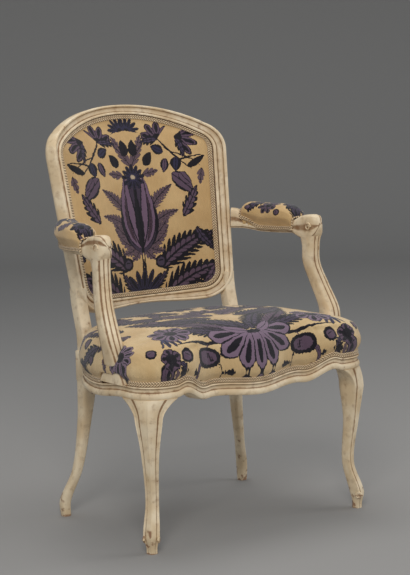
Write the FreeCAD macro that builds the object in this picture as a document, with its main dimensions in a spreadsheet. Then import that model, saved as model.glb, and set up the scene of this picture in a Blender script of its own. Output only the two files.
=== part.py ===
import FreeCAD, Part
import math
import os

# Open armchair with a curved moulded back, padded arms and a serpentine seat on cabriole legs.
# Millimetres. +Z is up, the front faces -Y, +X is the right side seen from the front.
# The origin lies on the floor under the middle of the chair.

V = FreeCAD.Vector
UP = V(0, 0, 1)

SIZES = {
    # seat frame in plan
    "front_middle_reach": 263,
    "front_hollow_reach": 244,
    "front_hollow_x": 115,
    "front_shoulder_reach": 270,
    "front_shoulder_x": 210,
    "front_joint_x": 225,
    "seat_half_width": 305,
    "knee_corner_radius": 65,
    "side_joint_reach": 185,
    "side_rear_half_width": 222,
    "rear_post_front": 80,
    "rear_block_side": 36,
    "back_rail_bow": 18,
    "rail_thickness": 30,
    # seat frame in height
    "seat_rail_top": 365,
    "band_height": 27,
    "band_rebate": 7,
    "front_low": 298,
    "front_cusp_x": 112,
    "front_cusp_low": 305,
    "front_lobe_x": 134,
    "front_lobe_low": 303,
    "front_arch_x": 200,
    "front_arch_low": 327,
    "knee_low": 321,
    "side_low": 311,
    "side_low_reach": 75,
    "side_rear_low": 319,
    "back_rail_low": 310,
    # front legs, each station measured across the leg and through it
    "front_leg_axis_x": 273,
    "front_leg_axis_reach": 236,
    "front_foot_width": 23,
    "front_foot_kick": 11,
    "front_scroll_height": 38,
    "front_scroll_width": 34,
    "front_ankle_height": 105,
    "front_ankle_width": 28,
    "front_ankle_tuck": 8,
    "front_calf_height": 205,
    "front_calf_width": 37,
    "front_knee_height": 275,
    "front_knee_width": 56,
    "front_leg_depth_ratio": 0.86,
    "leg_bevel": 3,
    # rear posts
    "rear_foot_x": 249,
    "rear_foot_y": 133,
    "rear_foot_width": 19,
    "rear_scroll_height": 36,
    "rear_scroll_width": 23,
    "rear_ankle_height": 105,
    "rear_ankle_x": 228,
    "rear_ankle_y": 113,
    "rear_ankle_width": 21,
    "rear_calf_height": 215,
    "rear_calf_x": 212,
    "rear_calf_y": 103,
    "rear_calf_width": 27,
    "rear_block_top": 372,
    "post_block_width": 29,
    # back frame, drawn flat on the hollow face of the back and then leaned
    "back_radius": 410,
    "back_lean": 12.2,
    "back_foot_y": 152,
    "back_foot_z": 460,
    "sight_bottom": 9,
    "sight_low_half_width": 187,
    "sight_low_height": 45,
    "sight_high_half_width": 205,
    "sight_high_height": 285,
    "sight_top": 428,
    "crest_radius": 317,
    "shoulder_radius": 45,
    "corner_radius": 40,
    "moulding_width": 26,
    "crest_moulding_width": 22,
    "bottom_arch_rise": 9,
    "back_frame_thickness": 28,
    "upholstery_margin": 14,
    "front_rebate": 11,
    "rear_rebate": 4,
    "bottom_joint_x": 150,
    # arms
    "arm_low": 601,
    "arm_thickness": 28,
    "arm_width": 38,
    "arm_root_x": 232,
    "arm_root_y": 112,
    "arm_root_height": 44,
    "arm_half_spread": 286,
    "arm_mid_reach": 0,
    "knuckle_reach": 122,
    "knuckle_height": 48,
    "knuckle_width": 34,
    "support_foot_reach": 147,
    "support_foot_length": 70,
    "support_waist_reach": 92,
    "support_waist_width": 32,
    "support_waist_depth": 35,
    "support_swell_height": 440,
    "support_swell_x": 298,
    "support_swell_reach": 137,
    # upholstery
    "seat_crown_top": 445,
    "seat_swell": 6,
    "back_crown": 14,
    "arm_pad_width": 68,
    "arm_pad_top": 667,
    "arm_pad_front_reach": 47,
    "arm_pad_rear_y": 100,
    "cloth": 2,
    "webbing": 1.2,
    "strap_width": 52,
    "gimp_width": 11,
    "gimp": 1.8,
    # joinery
    "tenon_thickness": 10,
    "tenon_length": 24,
    "joint_gap": 0.2,
    "peg_diameter": 7,
    "soft_gap": 0.3,
}

doc = FreeCAD.newDocument("Armchair")
sheet = doc.addObject("Spreadsheet::Sheet", "Sizes")
for row, (name, value) in enumerate(SIZES.items(), start=1):
    sheet.set(f"A{row}", name)
    sheet.set(f"B{row}", str(value))
    sheet.setAlias(f"B{row}", name)
doc.recompute()


def size(name):
    return float(sheet.get(name))


# Common shapes

def ease(first, last, share):
    """A value that leaves first and reaches last without a corner at either end."""
    share = min(max(share, 0.0), 1.0)
    return first + (last - first) * (1 - math.cos(math.pi * share)) / 2


def between(knots, place):
    """Smooth value at place along knots, a list of (place, value) pairs in rising order."""
    if place <= knots[0][0]:
        return knots[0][1]
    for (start, low), (end, high) in zip(knots, knots[1:]):
        if place <= end:
            return ease(low, high, (place - start) / (end - start))
    return knots[-1][1]


def through(knots, place):
    """Value at place on one flowing curve through all the knots."""
    places = [knot[0] for knot in knots]
    values = [knot[1] for knot in knots]
    slopes = []
    for i in range(len(knots)):
        before = max(i - 1, 0)
        after = min(i + 1, len(knots) - 1)
        slopes.append((values[after] - values[before]) / (places[after] - places[before]))
    place = min(max(place, places[0]), places[-1])
    i = max(k for k in range(len(knots) - 1) if places[k] <= place)
    span = places[i + 1] - places[i]
    t = (place - places[i]) / span
    return (
        (2 * t**3 - 3 * t**2 + 1) * values[i]
        + (t**3 - 2 * t**2 + t) * span * slopes[i]
        + (3 * t**2 - 2 * t**3) * values[i + 1]
        + (t**3 - t**2) * span * slopes[i + 1]
    )


def polygon(points):
    return Part.makePolygon(list(points) + [points[0]])


def loft(wires):
    """Solid with straight lines between neighbouring sections."""
    return Part.makeLoft(wires, True, True)


def one_solid(shape):
    """The shape as a clean single solid."""
    solids = sorted(shape.Solids, key=lambda solid: solid.Volume)
    return solids[-1].removeSplitter()


def block(corner, far_corner):
    """A box between two opposite corners."""
    low = V(*[min(a, b) for a, b in zip(corner, far_corner)])
    high = V(*[max(a, b) for a, b in zip(corner, far_corner)])
    step = high - low
    return Part.makeBox(step.x, step.y, step.z, low)


def turned_block(middle, along, across, lengths):
    """A box centred on middle whose first two edges follow along and across."""
    turn = FreeCAD.Rotation(along, across, along.cross(across), "XYZ")
    box = Part.makeBox(*lengths, V(*lengths) * -0.5)
    box.Placement = FreeCAD.Placement(middle, turn)
    return box


def peg(start, direction, length, gap=0.0):
    """Whittled eight-sided peg, or its hole when gap is above zero."""
    radius = size("peg_diameter") / 2 + gap
    turns = [math.radians(45 * step) for step in range(8)]
    ring = polygon([V(radius * math.cos(turn), radius * math.sin(turn), 0) for turn in turns])
    body = Part.Face(ring).extrude(UP * (length + gap))
    body.Placement = FreeCAD.Placement(start, FreeCAD.Rotation(UP, direction))
    return body


def fold(a, b, c, d):
    """Four-sided patch as two triangles, folded along its short diagonal."""
    if (a - c).Length <= (b - d).Length:
        halves = [(a, b, c), (a, c, d)]
    else:
        halves = [(a, b, d), (b, c, d)]
    return [Part.Face(polygon(corners)) for corners in halves]


def folded(rings, round_trip=False, flat_ends=True):
    """Solid through rings of points, closed at its ends or, in a round trip, on itself."""
    faces = []
    following = rings[1:] + rings[:1] if round_trip else rings[1:]
    for near, far in zip(rings, following):
        for i in range(len(near)):
            j = (i + 1) % len(near)
            faces += fold(near[i], near[j], far[j], far[i])
    for ring in (rings[0], rings[-1]):
        if flat_ends and not round_trip:
            faces.append(Part.Face(polygon(ring)))
        elif not round_trip:
            for i in range(len(ring) // 2 - 1):
                faces += fold(ring[i], ring[i + 1], ring[-2 - i], ring[-1 - i])
    shell = Part.makeShell(faces)
    shell.sewShape()
    body = Part.makeSolid(shell)
    if body.Volume < 0:
        body.reverse()
    return body


def mirrored(shape):
    return shape.mirror(V(0, 0, 0), V(1, 0, 0))


# Outline of the seat frame in plan and in height

front_joint_x = size("front_joint_x")
side_joint_y = -size("side_joint_reach")
seat_top = size("seat_rail_top")
band = size("band_height")
rebate = size("band_rebate")
rail = size("rail_thickness")
rear_front_y = size("rear_post_front")
rear_back_y = rear_front_y + size("rear_block_side")
rear_outer_x = size("side_rear_half_width")
rear_inner_x = rear_outer_x - size("rear_block_side")
half_width = size("seat_half_width")
shoulder_y = -size("front_shoulder_reach")
joint_gap = size("joint_gap")
soft_gap = size("soft_gap")
cloth = size("cloth")
gimp = size("gimp")
gimp_width = size("gimp_width")


def front_line(x):
    """Y of the front rail's face: forward in the middle, hollow, forward again at the knees."""
    knots = [
        (0, -size("front_middle_reach")),
        (size("front_hollow_x"), -size("front_hollow_reach")),
        (size("front_shoulder_x"), shoulder_y),
    ]
    return between(knots, abs(x))


def side_line(y):
    """X of the side rail's face, which curves in towards the rear post."""
    run = (y - side_joint_y) / (rear_front_y - side_joint_y)
    return half_width - (half_width - rear_outer_x) * max(run, 0.0) ** 3.2


def front_low(x):
    """Z of the front rail's lower edge with its droop, cusps, lobes and arches."""
    knots = [
        (0, size("front_low")),
        (size("front_cusp_x"), size("front_cusp_low")),
        (size("front_lobe_x"), size("front_lobe_low")),
        (size("front_arch_x"), size("front_arch_low")),
        (front_joint_x, size("knee_low")),
    ]
    return between(knots, abs(x))


def side_low(y):
    knots = [
        (side_joint_y, size("knee_low")),
        (-size("side_low_reach"), size("side_low")),
        (rear_front_y, size("side_rear_low")),
    ]
    return between(knots, y)


def slope_normal(line, place, step=0.5):
    return (line(place + step) - line(place - step)) / (2 * step)


def front_station(x):
    slope = slope_normal(front_line, x)
    outward = V(slope, -1, 0).normalize()
    return V(x, front_line(x), 0), outward, front_low(x)


def side_station(y):
    slope = slope_normal(side_line, y)
    outward = V(1, -slope, 0).normalize()
    return V(side_line(y), y, 0), outward, side_low(y)


def knee_station(angle):
    """Round corner over the front leg, from the front face to the side face."""
    radius = size("knee_corner_radius")
    middle = V(half_width - radius, shoulder_y + radius, 0)
    outward = V(math.cos(angle), math.sin(angle), 0)
    return middle + outward * radius, outward, size("knee_low")


def rear_station(x):
    bow = size("back_rail_bow")
    y = rear_back_y - 6 + bow * (1 - (x / rear_inner_x) ** 2)
    return V(x, y, 0), V(0, 1, 0), size("side_rear_low")


FRONT_MARKS = (0.13, 0.26, 0.39, 0.5, 0.6, 0.7, 0.8, 0.89, 1)
KNEE_ANGLES = (-90, -70, -45, -20, 0)
SIDE_MARKS = (0, 0.16, 0.32, 0.5, 0.66, 0.8, 0.92)


def front_stations():
    """Stations of the right half of the front rail, from the middle outwards."""
    return [front_station(front_joint_x * mark) for mark in (0,) + FRONT_MARKS]


def knee_stations():
    return [knee_station(math.radians(angle)) for angle in KNEE_ANGLES]


def side_stations():
    reach = rear_front_y - side_joint_y
    return [side_station(side_joint_y + reach * mark) for mark in SIDE_MARKS]


seat_corner = (
    V(rear_outer_x - 4, rear_front_y + 12, 0),
    V(0.9, 0.44, 0).normalize(),
    size("side_rear_low"),
)


def seat_outline():
    """Stations right round the seat, from the middle of the front and back to it."""
    half = front_stations() + knee_stations() + side_stations() + [seat_corner]
    half += [rear_station(rear_inner_x * mark) for mark in (0.99, 0.75, 0.5, 0.25)]
    left = [(V(-p.x, p.y, 0), V(-n.x, n.y, 0), low) for p, n, low in half[1:]]
    return half + [rear_station(0)] + left[::-1]


# Moulded rails of the seat

def band_profile(low, top):
    """Rail section as (out from the face, height): rolled lower edge, cove, bead and rebate."""
    return [
        (-4, low),
        (0, low + 5),
        (0, low + 11),
        (-4, low + 14),
        (-4, low + 20),
        (-1, low + 23),
        (-1, low + band),
        (-rebate, low + band),
        (-rebate, top),
        (-rail, top),
        (-rail, low),
    ]


def section(station, profile):
    point, outward, _ = station
    return polygon([point + outward * out + UP * height for out, height in profile])


def rail_loft(stations):
    return loft([section(station, band_profile(station[2], seat_top)) for station in stations])


tenon = size("tenon_thickness")
tenon_length = size("tenon_length")
knee_low = size("knee_low")
tenon_low = knee_low + 8
tenon_top = seat_top - 8


def front_tenon(gap=0.0):
    """Right tenon of the front rail, in its knee block."""
    y = shoulder_y + rail / 2
    low = (front_joint_x - 5, y - tenon / 2 - gap, tenon_low - gap)
    high = (front_joint_x + tenon_length + gap, y + tenon / 2 + gap, tenon_top + gap)
    return block(low, high)


def side_front_tenon(gap=0.0):
    x = half_width - rail / 2
    low = (x - tenon / 2 - gap, side_joint_y - tenon_length - gap, tenon_low - gap)
    high = (x + tenon / 2 + gap, side_joint_y + 5, tenon_top + gap)
    return block(low, high)


def side_rear_tenon(gap=0.0):
    x = (rear_outer_x + rear_inner_x) / 2 + 4
    low = (x - tenon / 2 - gap, rear_front_y - 5, tenon_low - gap)
    high = (x + tenon / 2 + gap, rear_front_y + tenon_length + gap, tenon_top + gap)
    return block(low, high)


def back_rail_tenon(gap=0.0):
    """Right tenon of the back seat rail, held short of the side rail's tenon."""
    y = rear_back_y - 10
    low = (rear_inner_x - 5, y - tenon / 2 - gap, tenon_low - gap)
    high = (rear_inner_x + 13 + gap, y + tenon / 2 + gap, tenon_top + gap)
    return block(low, high)


# Pegs through the joints, each as where its head is, which way it goes and how long it is

peg_level = (tenon_low + tenon_top) / 2
peg_gap = 0.1


def peg_places():
    """Pegs of the right side, driven from faces that the cloth or the frame hides."""
    inner_face = V(half_width - rail - front_joint_x, side_joint_y - shoulder_y - rail, 0)
    front_share = (tenon_length / 2) / inner_face.x
    side_share = 1 - (tenon_length / 2) / inner_face.y
    corner = V(front_joint_x, shoulder_y + rail, peg_level)
    rear_x = (rear_inner_x + rear_outer_x) / 2
    return {
        "front_rail_peg": (corner + inner_face * front_share, V(0, -1, 0), 36),
        "side_rail_front_peg": (corner + inner_face * side_share, V(1, 0, 0), 34),
        "side_rail_rear_peg": (V(rear_inner_x, rear_front_y + 11, peg_level), V(1, 0, 0), 31),
        "back_rail_peg": (V(rear_inner_x + 7, rear_back_y, peg_level), V(0, -1, 0), 18),
    }


def peg_holes(*names):
    return [peg(*peg_places()[name], gap=peg_gap) for name in names]


# Front leg

DIAGONAL = V(1, -1, 0).normalize()
SIDEWAYS = V(1, 1, 0).normalize()
leg_axis = V(size("front_leg_axis_x"), -size("front_leg_axis_reach"), 0)


def head_outline(inset=0.0):
    """Plan of the knee block: round outer corner, two joint faces and a bevelled inner corner."""
    edge = [V(front_joint_x, shoulder_y + inset, 0)]
    edge += [point - outward * inset for point, outward, _ in knee_stations()]
    edge.append(V(half_width - inset, side_joint_y, 0))
    edge.append(V(half_width - rail, side_joint_y, 0))
    edge.append(V(front_joint_x, shoulder_y + rail, 0))
    return polygon(edge)


def head_ring():
    """The same plan as nine points, in the order of the leg's own section."""
    side = [knee_station(math.radians(-45 + 25))[0], knee_station(0)[0]]
    side += [V(half_width, side_joint_y, 0), V(half_width - rail, side_joint_y, 0)]
    front = [knee_station(math.radians(-45 - 25))[0], knee_station(-math.pi / 2)[0]]
    front += [V(front_joint_x, shoulder_y, 0), V(front_joint_x, shoulder_y + rail, 0)]
    return [knee_station(-math.pi / 4)[0]] + side + front[::-1]


def leg_ring(height):
    """Shield section of the leg: a ridge down the middle between two bevelled edges."""
    width = through(
        [
            (0, size("front_foot_width")),
            (size("front_scroll_height") * 0.35, size("front_foot_width")),
            (size("front_scroll_height"), size("front_scroll_width")),
            (size("front_ankle_height"), size("front_ankle_width")),
            (size("front_calf_height"), size("front_calf_width")),
            (size("front_knee_height"), size("front_knee_width")),
        ],
        height,
    )
    outward = through(
        [
            (0, size("front_foot_kick")),
            (size("front_scroll_height"), size("front_foot_kick")),
            (size("front_ankle_height"), -size("front_ankle_tuck")),
            (size("front_calf_height"), 0),
            (size("front_knee_height"), 2),
        ],
        height,
    )
    depth = width * size("front_leg_depth_ratio")
    bevel = size("leg_bevel")
    half = [
        (depth * 0.34, width * 0.28),
        (depth * 0.2, width * 0.5 - bevel),
        (depth * 0.2 - bevel, width * 0.5),
        (-depth * 0.5, width * 0.18),
    ]
    middle = leg_axis + DIAGONAL * outward
    side = [middle + DIAGONAL * u + SIDEWAYS * v for u, v in half]
    front = [middle + DIAGONAL * u - SIDEWAYS * v for u, v in half]
    return [middle + DIAGONAL * depth * 0.5] + side + front[::-1]


def leg_section(height):
    """Below the knee the plain shield, above it the flare into the rails."""
    share = (height - size("front_knee_height")) / (knee_low - size("front_knee_height"))
    share = min(max(share, 0.0), 1.0) ** 2
    ring = zip(leg_ring(height), head_ring())
    return [slim * (1 - share) + full * share + UP * height for slim, full in ring]


def front_leg():
    scroll = size("front_scroll_height")
    ankle = size("front_ankle_height")
    calf = size("front_calf_height")
    knee = size("front_knee_height")
    heights = [0, scroll * 0.35, scroll * 0.7, scroll, scroll * 1.4, scroll * 1.9]
    heights += [ankle + (calf - ankle) * share for share in (0, 0.25, 0.5, 0.75)]
    heights += [calf + (knee - calf) * share for share in (0, 0.33, 0.67)]
    heights += [knee + (knee_low - knee) * share for share in (0, 0.35, 0.6, 0.8, 0.92, 1)]
    leg = folded([leg_section(height) for height in heights])
    head = Part.Face(head_outline()).extrude(UP * band)
    neck = Part.Face(head_outline(rebate)).extrude(UP * (seat_top - knee_low))
    for part in (head, neck):
        part.translate(UP * knee_low)
    whole = leg.fuse([head, neck])
    holes = [front_tenon(joint_gap), side_front_tenon(joint_gap)]
    return one_solid(whole.cut(holes + peg_holes("front_rail_peg", "side_rail_front_peg")))


# Hollow, leaning face of the back

back_radius = size("back_radius")
lean = math.radians(size("back_lean"))
moulding = size("moulding_width")
margin = size("upholstery_margin")
thickness = size("back_frame_thickness")
sight_bottom = size("sight_bottom")
crest_middle = size("sight_top") - size("crest_radius")


def leaned(point):
    """From the upright drawing of the back to its place on the chair."""
    y = point.y * math.cos(lean) + point.z * math.sin(lean)
    z = point.z * math.cos(lean) - point.y * math.sin(lean)
    return V(point.x, y + size("back_foot_y"), z + size("back_foot_z"))


def on_back(x, height, proud=0.0):
    """A point on the hollow face, or proud of it towards the sitter."""
    turn = math.asin(x / back_radius)
    reach = back_radius - proud
    flat = V(reach * math.sin(turn), reach * math.cos(turn) - back_radius, height)
    return leaned(flat)


side_run = V(
    size("sight_high_half_width") - size("sight_low_half_width"),
    size("sight_high_height") - size("sight_low_height"),
    0,
).normalize()
side_out = V(side_run.y, -side_run.x, 0)


def beside_sight(radius, height):
    """X of a circle of this radius at this height, just touching the side sight line."""
    drop = (height - size("sight_low_height")) * side_out.y
    return size("sight_low_half_width") - (radius + drop) / side_out.x


def shoulder_middle():
    """Middle of the shoulder curve, which touches both the side and the crest."""
    radius = size("shoulder_radius")
    low = size("sight_low_height")
    high = size("sight_top")
    for _ in range(50):
        height = (low + high) / 2
        reach = math.hypot(beside_sight(radius, height), height - crest_middle)
        if reach < size("crest_radius") - radius:
            low = height
        else:
            high = height
    return V(beside_sight(radius, height), height, 0)


corner_height = sight_bottom + size("corner_radius")
corner_middle = V(beside_sight(size("corner_radius"), corner_height), corner_height, 0)
shoulder = shoulder_middle()
side_angle = math.atan2(side_out.y, side_out.x)
crest_angle = math.atan2(shoulder.y - crest_middle, shoulder.x)
crest_joint_x = size("crest_radius") * math.cos(crest_angle)
bottom_joint_x = size("bottom_joint_x")


def swung(middle, radius, angle):
    return middle + V(math.cos(angle), math.sin(angle), 0) * radius


def crest_pair(x):
    """Inner and outer edge of the crest in the upright plane at x."""
    share = abs(x) / crest_joint_x
    width = ease(size("crest_moulding_width"), moulding, share)
    radius = size("crest_radius")
    inner = V(x, crest_middle + math.sqrt(radius**2 - x**2), 0)
    outer = V(x, crest_middle + math.sqrt((radius + width) ** 2 - x**2), 0)
    return inner, outer


def bottom_pair(x):
    """Inner and outer edge of the bottom rail, whose lower edge arches up in the middle."""
    share = abs(x) / bottom_joint_x
    width = ease(moulding - size("bottom_arch_rise"), moulding, share)
    return V(x, sight_bottom, 0), V(x, sight_bottom - width, 0)


def arc_pair(middle, radius, angle, outer_angle=None):
    outer_angle = angle if outer_angle is None else outer_angle
    return swung(middle, radius, angle), swung(middle, radius + moulding, outer_angle)


def side_pairs():
    """Edges of the right stile, from the bottom joint up round the shoulder to the crest."""
    corner = size("corner_radius")
    bend = size("shoulder_radius")
    pairs = [bottom_pair(bottom_joint_x)]
    down = -math.pi / 2
    for share in (0.3, 0.65, 1):
        angle = down + (side_angle - down) * share
        pairs.append(arc_pair(corner_middle, corner, angle))
    foot = pairs[-1]
    head = arc_pair(shoulder, bend, side_angle)
    for share in (0.25, 0.5, 0.75):
        pairs.append(tuple(a + (b - a) * share for a, b in zip(foot, head)))
    last = crest_pair(crest_joint_x)
    last_angle = math.atan2(last[1].y - shoulder.y, last[1].x - shoulder.x)
    for share in (0, 0.35, 0.7):
        inner_angle = side_angle + (crest_angle - side_angle) * share
        outer_angle = side_angle + (last_angle - side_angle) * share
        pairs.append(arc_pair(shoulder, bend, inner_angle, outer_angle))
    return pairs + [last]


def frame_profile():
    """Section of the back frame as (out from the sight line, proud of the face)."""
    return [
        (-margin, -size("front_rebate")),
        (0, -size("front_rebate")),
        (0, -1),
        (6, 0),
        (10, -4),
        (18, -4),
        (22, 1),
        (moulding, -3),
        (moulding, -18),
        (moulding - 6, -thickness),
        (0, -thickness),
        (0, size("rear_rebate") - thickness),
        (-margin, size("rear_rebate") - thickness),
    ]


def frame_section(pair):
    inner, outer = pair
    width = (outer - inner).Length
    direction = (outer - inner).normalize()
    points = []
    for out, proud in frame_profile():
        reach = out * width / moulding if out > 0 else out
        place = inner + direction * reach
        points.append(on_back(place.x, place.y, proud))
    return polygon(points)


def frame_loft(pairs):
    return loft([frame_section(pair) for pair in pairs])


def frame_tenon(pair, gap=0.0):
    """Tenon across the joint at this pair of edges, running outwards along the curved face."""
    x = pair[0].x
    height = (pair[0].y + pair[1].y) / 2
    proud = -thickness / 2 - 2
    along = (on_back(x + 1, height, proud) - on_back(x - 1, height, proud)).normalize()
    upward = (on_back(x, height + 1, proud) - on_back(x, height, proud)).normalize()
    middle = on_back(x, height, proud) + along * (tenon_length / 2 - 4)
    lengths = (tenon_length + 2 * gap, 14 + 2 * gap, tenon + 2 * gap)
    return turned_block(middle, along, upward, lengths)


# Rear leg and stile in one post

def octagon(middle, side, bevel=0.22):
    half = side / 2
    cut = side * bevel
    corners = [(half, cut - half), (half, half - cut), (half - cut, half), (cut - half, half)]
    corners += [(-x, -y) for x, y in corners]
    return polygon([middle + V(x, y, 0) for x, y in corners])


def rear_post():
    top = size("rear_block_top")
    block_low = knee_low - 16
    middle_x = (rear_outer_x + rear_inner_x) / 2
    middle_y = (rear_front_y + rear_back_y) / 2
    side = size("rear_block_side")
    scroll = size("rear_scroll_height")
    ankle = size("rear_ankle_height")
    calf = size("rear_calf_height")
    foot_x, foot_y = size("rear_foot_x"), size("rear_foot_y")
    marks = [
        (0, foot_x, foot_y, size("rear_foot_width")),
        (scroll, foot_x, foot_y, size("rear_scroll_width")),
        (ankle, size("rear_ankle_x"), size("rear_ankle_y"), size("rear_ankle_width")),
        (calf, size("rear_calf_x"), size("rear_calf_y"), size("rear_calf_width")),
        (block_low + 4, middle_x, middle_y, side - 1),
    ]
    heights = [0, scroll * 0.4, scroll, (scroll + ankle) / 2, ankle, (ankle + calf) / 2, calf]
    heights += [(calf + block_low) / 2, block_low + 4]
    rings = []
    for height in heights:
        x, y, width = [through([(m[0], m[i]) for m in marks], height) for i in (1, 2, 3)]
        rings.append(octagon(V(x, y, height), width))
    leg = loft(rings)
    low = (rear_inner_x, rear_front_y, block_low)
    rail_block = block(low, (rear_outer_x, rear_back_y, top))
    foot, head = side_pairs()[3:5]
    upper = on_back((foot[0].x + foot[1].x) / 2, foot[0].y, -thickness / 2)
    lower = V(middle_x, middle_y, top - 3)
    stem = []
    for share in (0, 0.35, 0.7, 1):
        lead = lower + (upper - lower) * share
        lead.y = ease(lower.y, upper.y, share)
        stem.append(octagon(lead, size("post_block_width"), 0.12))
    stile = frame_loft(side_pairs())
    whole = leg.fuse([rail_block, loft(stem), stile])
    holes = [side_rear_tenon(joint_gap), back_rail_tenon(joint_gap)]
    holes.append(frame_tenon(crest_pair(crest_joint_x), joint_gap))
    holes.append(frame_tenon(bottom_pair(bottom_joint_x), joint_gap))
    holes.append(arm_root(joint_gap))
    holes += peg_holes("side_rail_rear_peg", "back_rail_peg")
    return one_solid(whole.cut(holes))


# Crest, bottom rail and seat rails

def crest_rail():
    marks = (-1, -0.86, -0.7, -0.52, -0.35, -0.17, 0, 0.17, 0.35, 0.52, 0.7, 0.86, 1)
    rail_body = frame_loft([crest_pair(crest_joint_x * mark) for mark in marks])
    end = frame_tenon(crest_pair(crest_joint_x))
    return one_solid(rail_body.fuse([end, mirrored(end)]))


def back_bottom_rail():
    marks = (-1, -0.75, -0.5, -0.25, 0, 0.25, 0.5, 0.75, 1)
    rail_body = frame_loft([bottom_pair(bottom_joint_x * mark) for mark in marks])
    end = frame_tenon(bottom_pair(bottom_joint_x))
    return one_solid(rail_body.fuse([end, mirrored(end)]))


def front_seat_rail():
    places = [front_joint_x * mark for mark in FRONT_MARKS]
    stations = [front_station(x) for x in [-x for x in places[::-1]] + [0] + places]
    end = front_tenon()
    holes = peg_holes("front_rail_peg")
    whole = rail_loft(stations).fuse([end, mirrored(end)])
    return one_solid(whole.cut(holes + [mirrored(hole) for hole in holes]))


def side_seat_rail():
    stations = side_stations()
    wide = (rear_outer_x - rear_inner_x) / rail
    stations.append((V(rear_outer_x, rear_front_y, 0), V(wide, 0, 0), size("side_rear_low")))
    seat = size("support_foot_length") / 2 + 2
    middle = -size("support_foot_reach")
    infill = []
    for share in (-1, -0.5, 0, 0.5, 1):
        station = side_station(middle + seat * share)
        low = station[2] + band - 2
        profile = [(0, low), (0, seat_top), (-rebate - 2, seat_top), (-rebate - 2, low)]
        infill.append(section(station, profile))
    parts = [loft(infill), side_front_tenon(), side_rear_tenon()]
    holes = [support_tenon(joint_gap)]
    holes += peg_holes("side_rail_front_peg", "side_rail_rear_peg")
    return one_solid(rail_loft(stations).fuse(parts).cut(holes))


# Arm and its support

def arm_path(y):
    """X of the arm's middle line, which sweeps out from the stile and runs forward."""
    knots = [
        (-size("knuckle_reach"), size("arm_half_spread")),
        (-size("support_waist_reach"), size("arm_half_spread")),
        (-size("arm_mid_reach") - 40, size("arm_half_spread") - 1),
        (size("arm_mid_reach"), size("arm_half_spread") - 5),
        ((size("arm_mid_reach") + size("arm_root_y")) / 2, size("arm_half_spread") - 19),
        (size("arm_root_y"), size("arm_root_x")),
        (size("arm_root_y") + 24, size("arm_root_x") - 22),
    ]
    return through(knots, y)


def arm_size(y):
    """Bottom, height and width of the arm at y."""
    low = size("arm_low")
    root = size("arm_root_y")
    front = -size("knuckle_reach")
    waist = -size("support_waist_reach")
    knots = [
        (front, low + 12, size("knuckle_height") - 24, size("knuckle_width") - 10),
        (front + 5, low + 1, size("knuckle_height") - 5, size("knuckle_width") - 2),
        (waist - 8, low - 8, size("knuckle_height") + 6, size("knuckle_width")),
        (waist + 22, low - 8, size("knuckle_height") + 2, size("knuckle_width")),
        (waist + 50, low + 1, size("arm_thickness") + 2, size("arm_width") - 2),
        (-size("arm_mid_reach"), low, size("arm_thickness"), size("arm_width")),
        (root / 2, low, size("arm_thickness"), size("arm_width") - 3),
        (root - 20, low + 6, size("arm_thickness") + 6, size("arm_width") - 7),
        (root, low + 7, size("arm_root_height"), size("arm_width") - 8),
        (root + 24, low + 7, size("arm_root_height"), size("arm_width") - 8),
    ]
    return [through([(k[0], k[i]) for k in knots], y) for i in (1, 2, 3)]


def arm_frame(y):
    """Point on the arm's middle line and the level direction square to it."""
    slope = (arm_path(y + 0.5) - arm_path(y - 0.5)) / 1.0
    return V(arm_path(y), y, 0), V(1, -slope, 0).normalize()


def arm_section(y, grow=0.0):
    middle, across = arm_frame(y)
    low, height, width = arm_size(y)
    half = width / 2 + grow
    bevel = 7 + grow
    ring = [
        (-half + bevel, -grow),
        (half - bevel, -grow),
        (half, 7),
        (half - 2, height - 8),
        (half - 8, height + grow),
        (-half + 8, height + grow),
        (-half + 2, height - 8),
        (-half, 7),
    ]
    return [middle + across * out + UP * (low + up) for out, up in ring]


support_top = size("arm_low") - 1


def arm_tenon(gap=0.0):
    """Tenon on top of the support, in the underside of the knuckle."""
    middle = V(size("arm_half_spread"), -size("support_waist_reach"), support_top)
    reach = V(tenon / 2 + gap, 11 + gap, 0)
    return block(middle - reach - UP * 5, middle + reach + UP * (20 + gap))


arm_root_y = size("arm_root_y")
arm_housing = 16


def arm_root(gap=0.0):
    """End of the arm that is let into the stile."""
    shift = arm_frame(arm_root_y)[1].cross(UP) * -1
    end = arm_section(arm_root_y, gap)
    return folded([[place + shift * step for place in end] for step in (-6, arm_housing + gap)])


def arm():
    front = -size("knuckle_reach")
    waist = -size("support_waist_reach")
    places = [front, front + 2, front + 6, front + 14, waist + 6, waist + 22, waist + 36]
    places += [waist + 50, -10, 20, arm_root_y / 2, arm_root_y - 38, arm_root_y - 20, arm_root_y]
    body = folded([arm_section(y) for y in places]).fuse(arm_root())
    under = block((0, -200, support_top - 60), (400, waist + 60, support_top))
    return one_solid(body.cut([under, arm_tenon(joint_gap)]))


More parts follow.
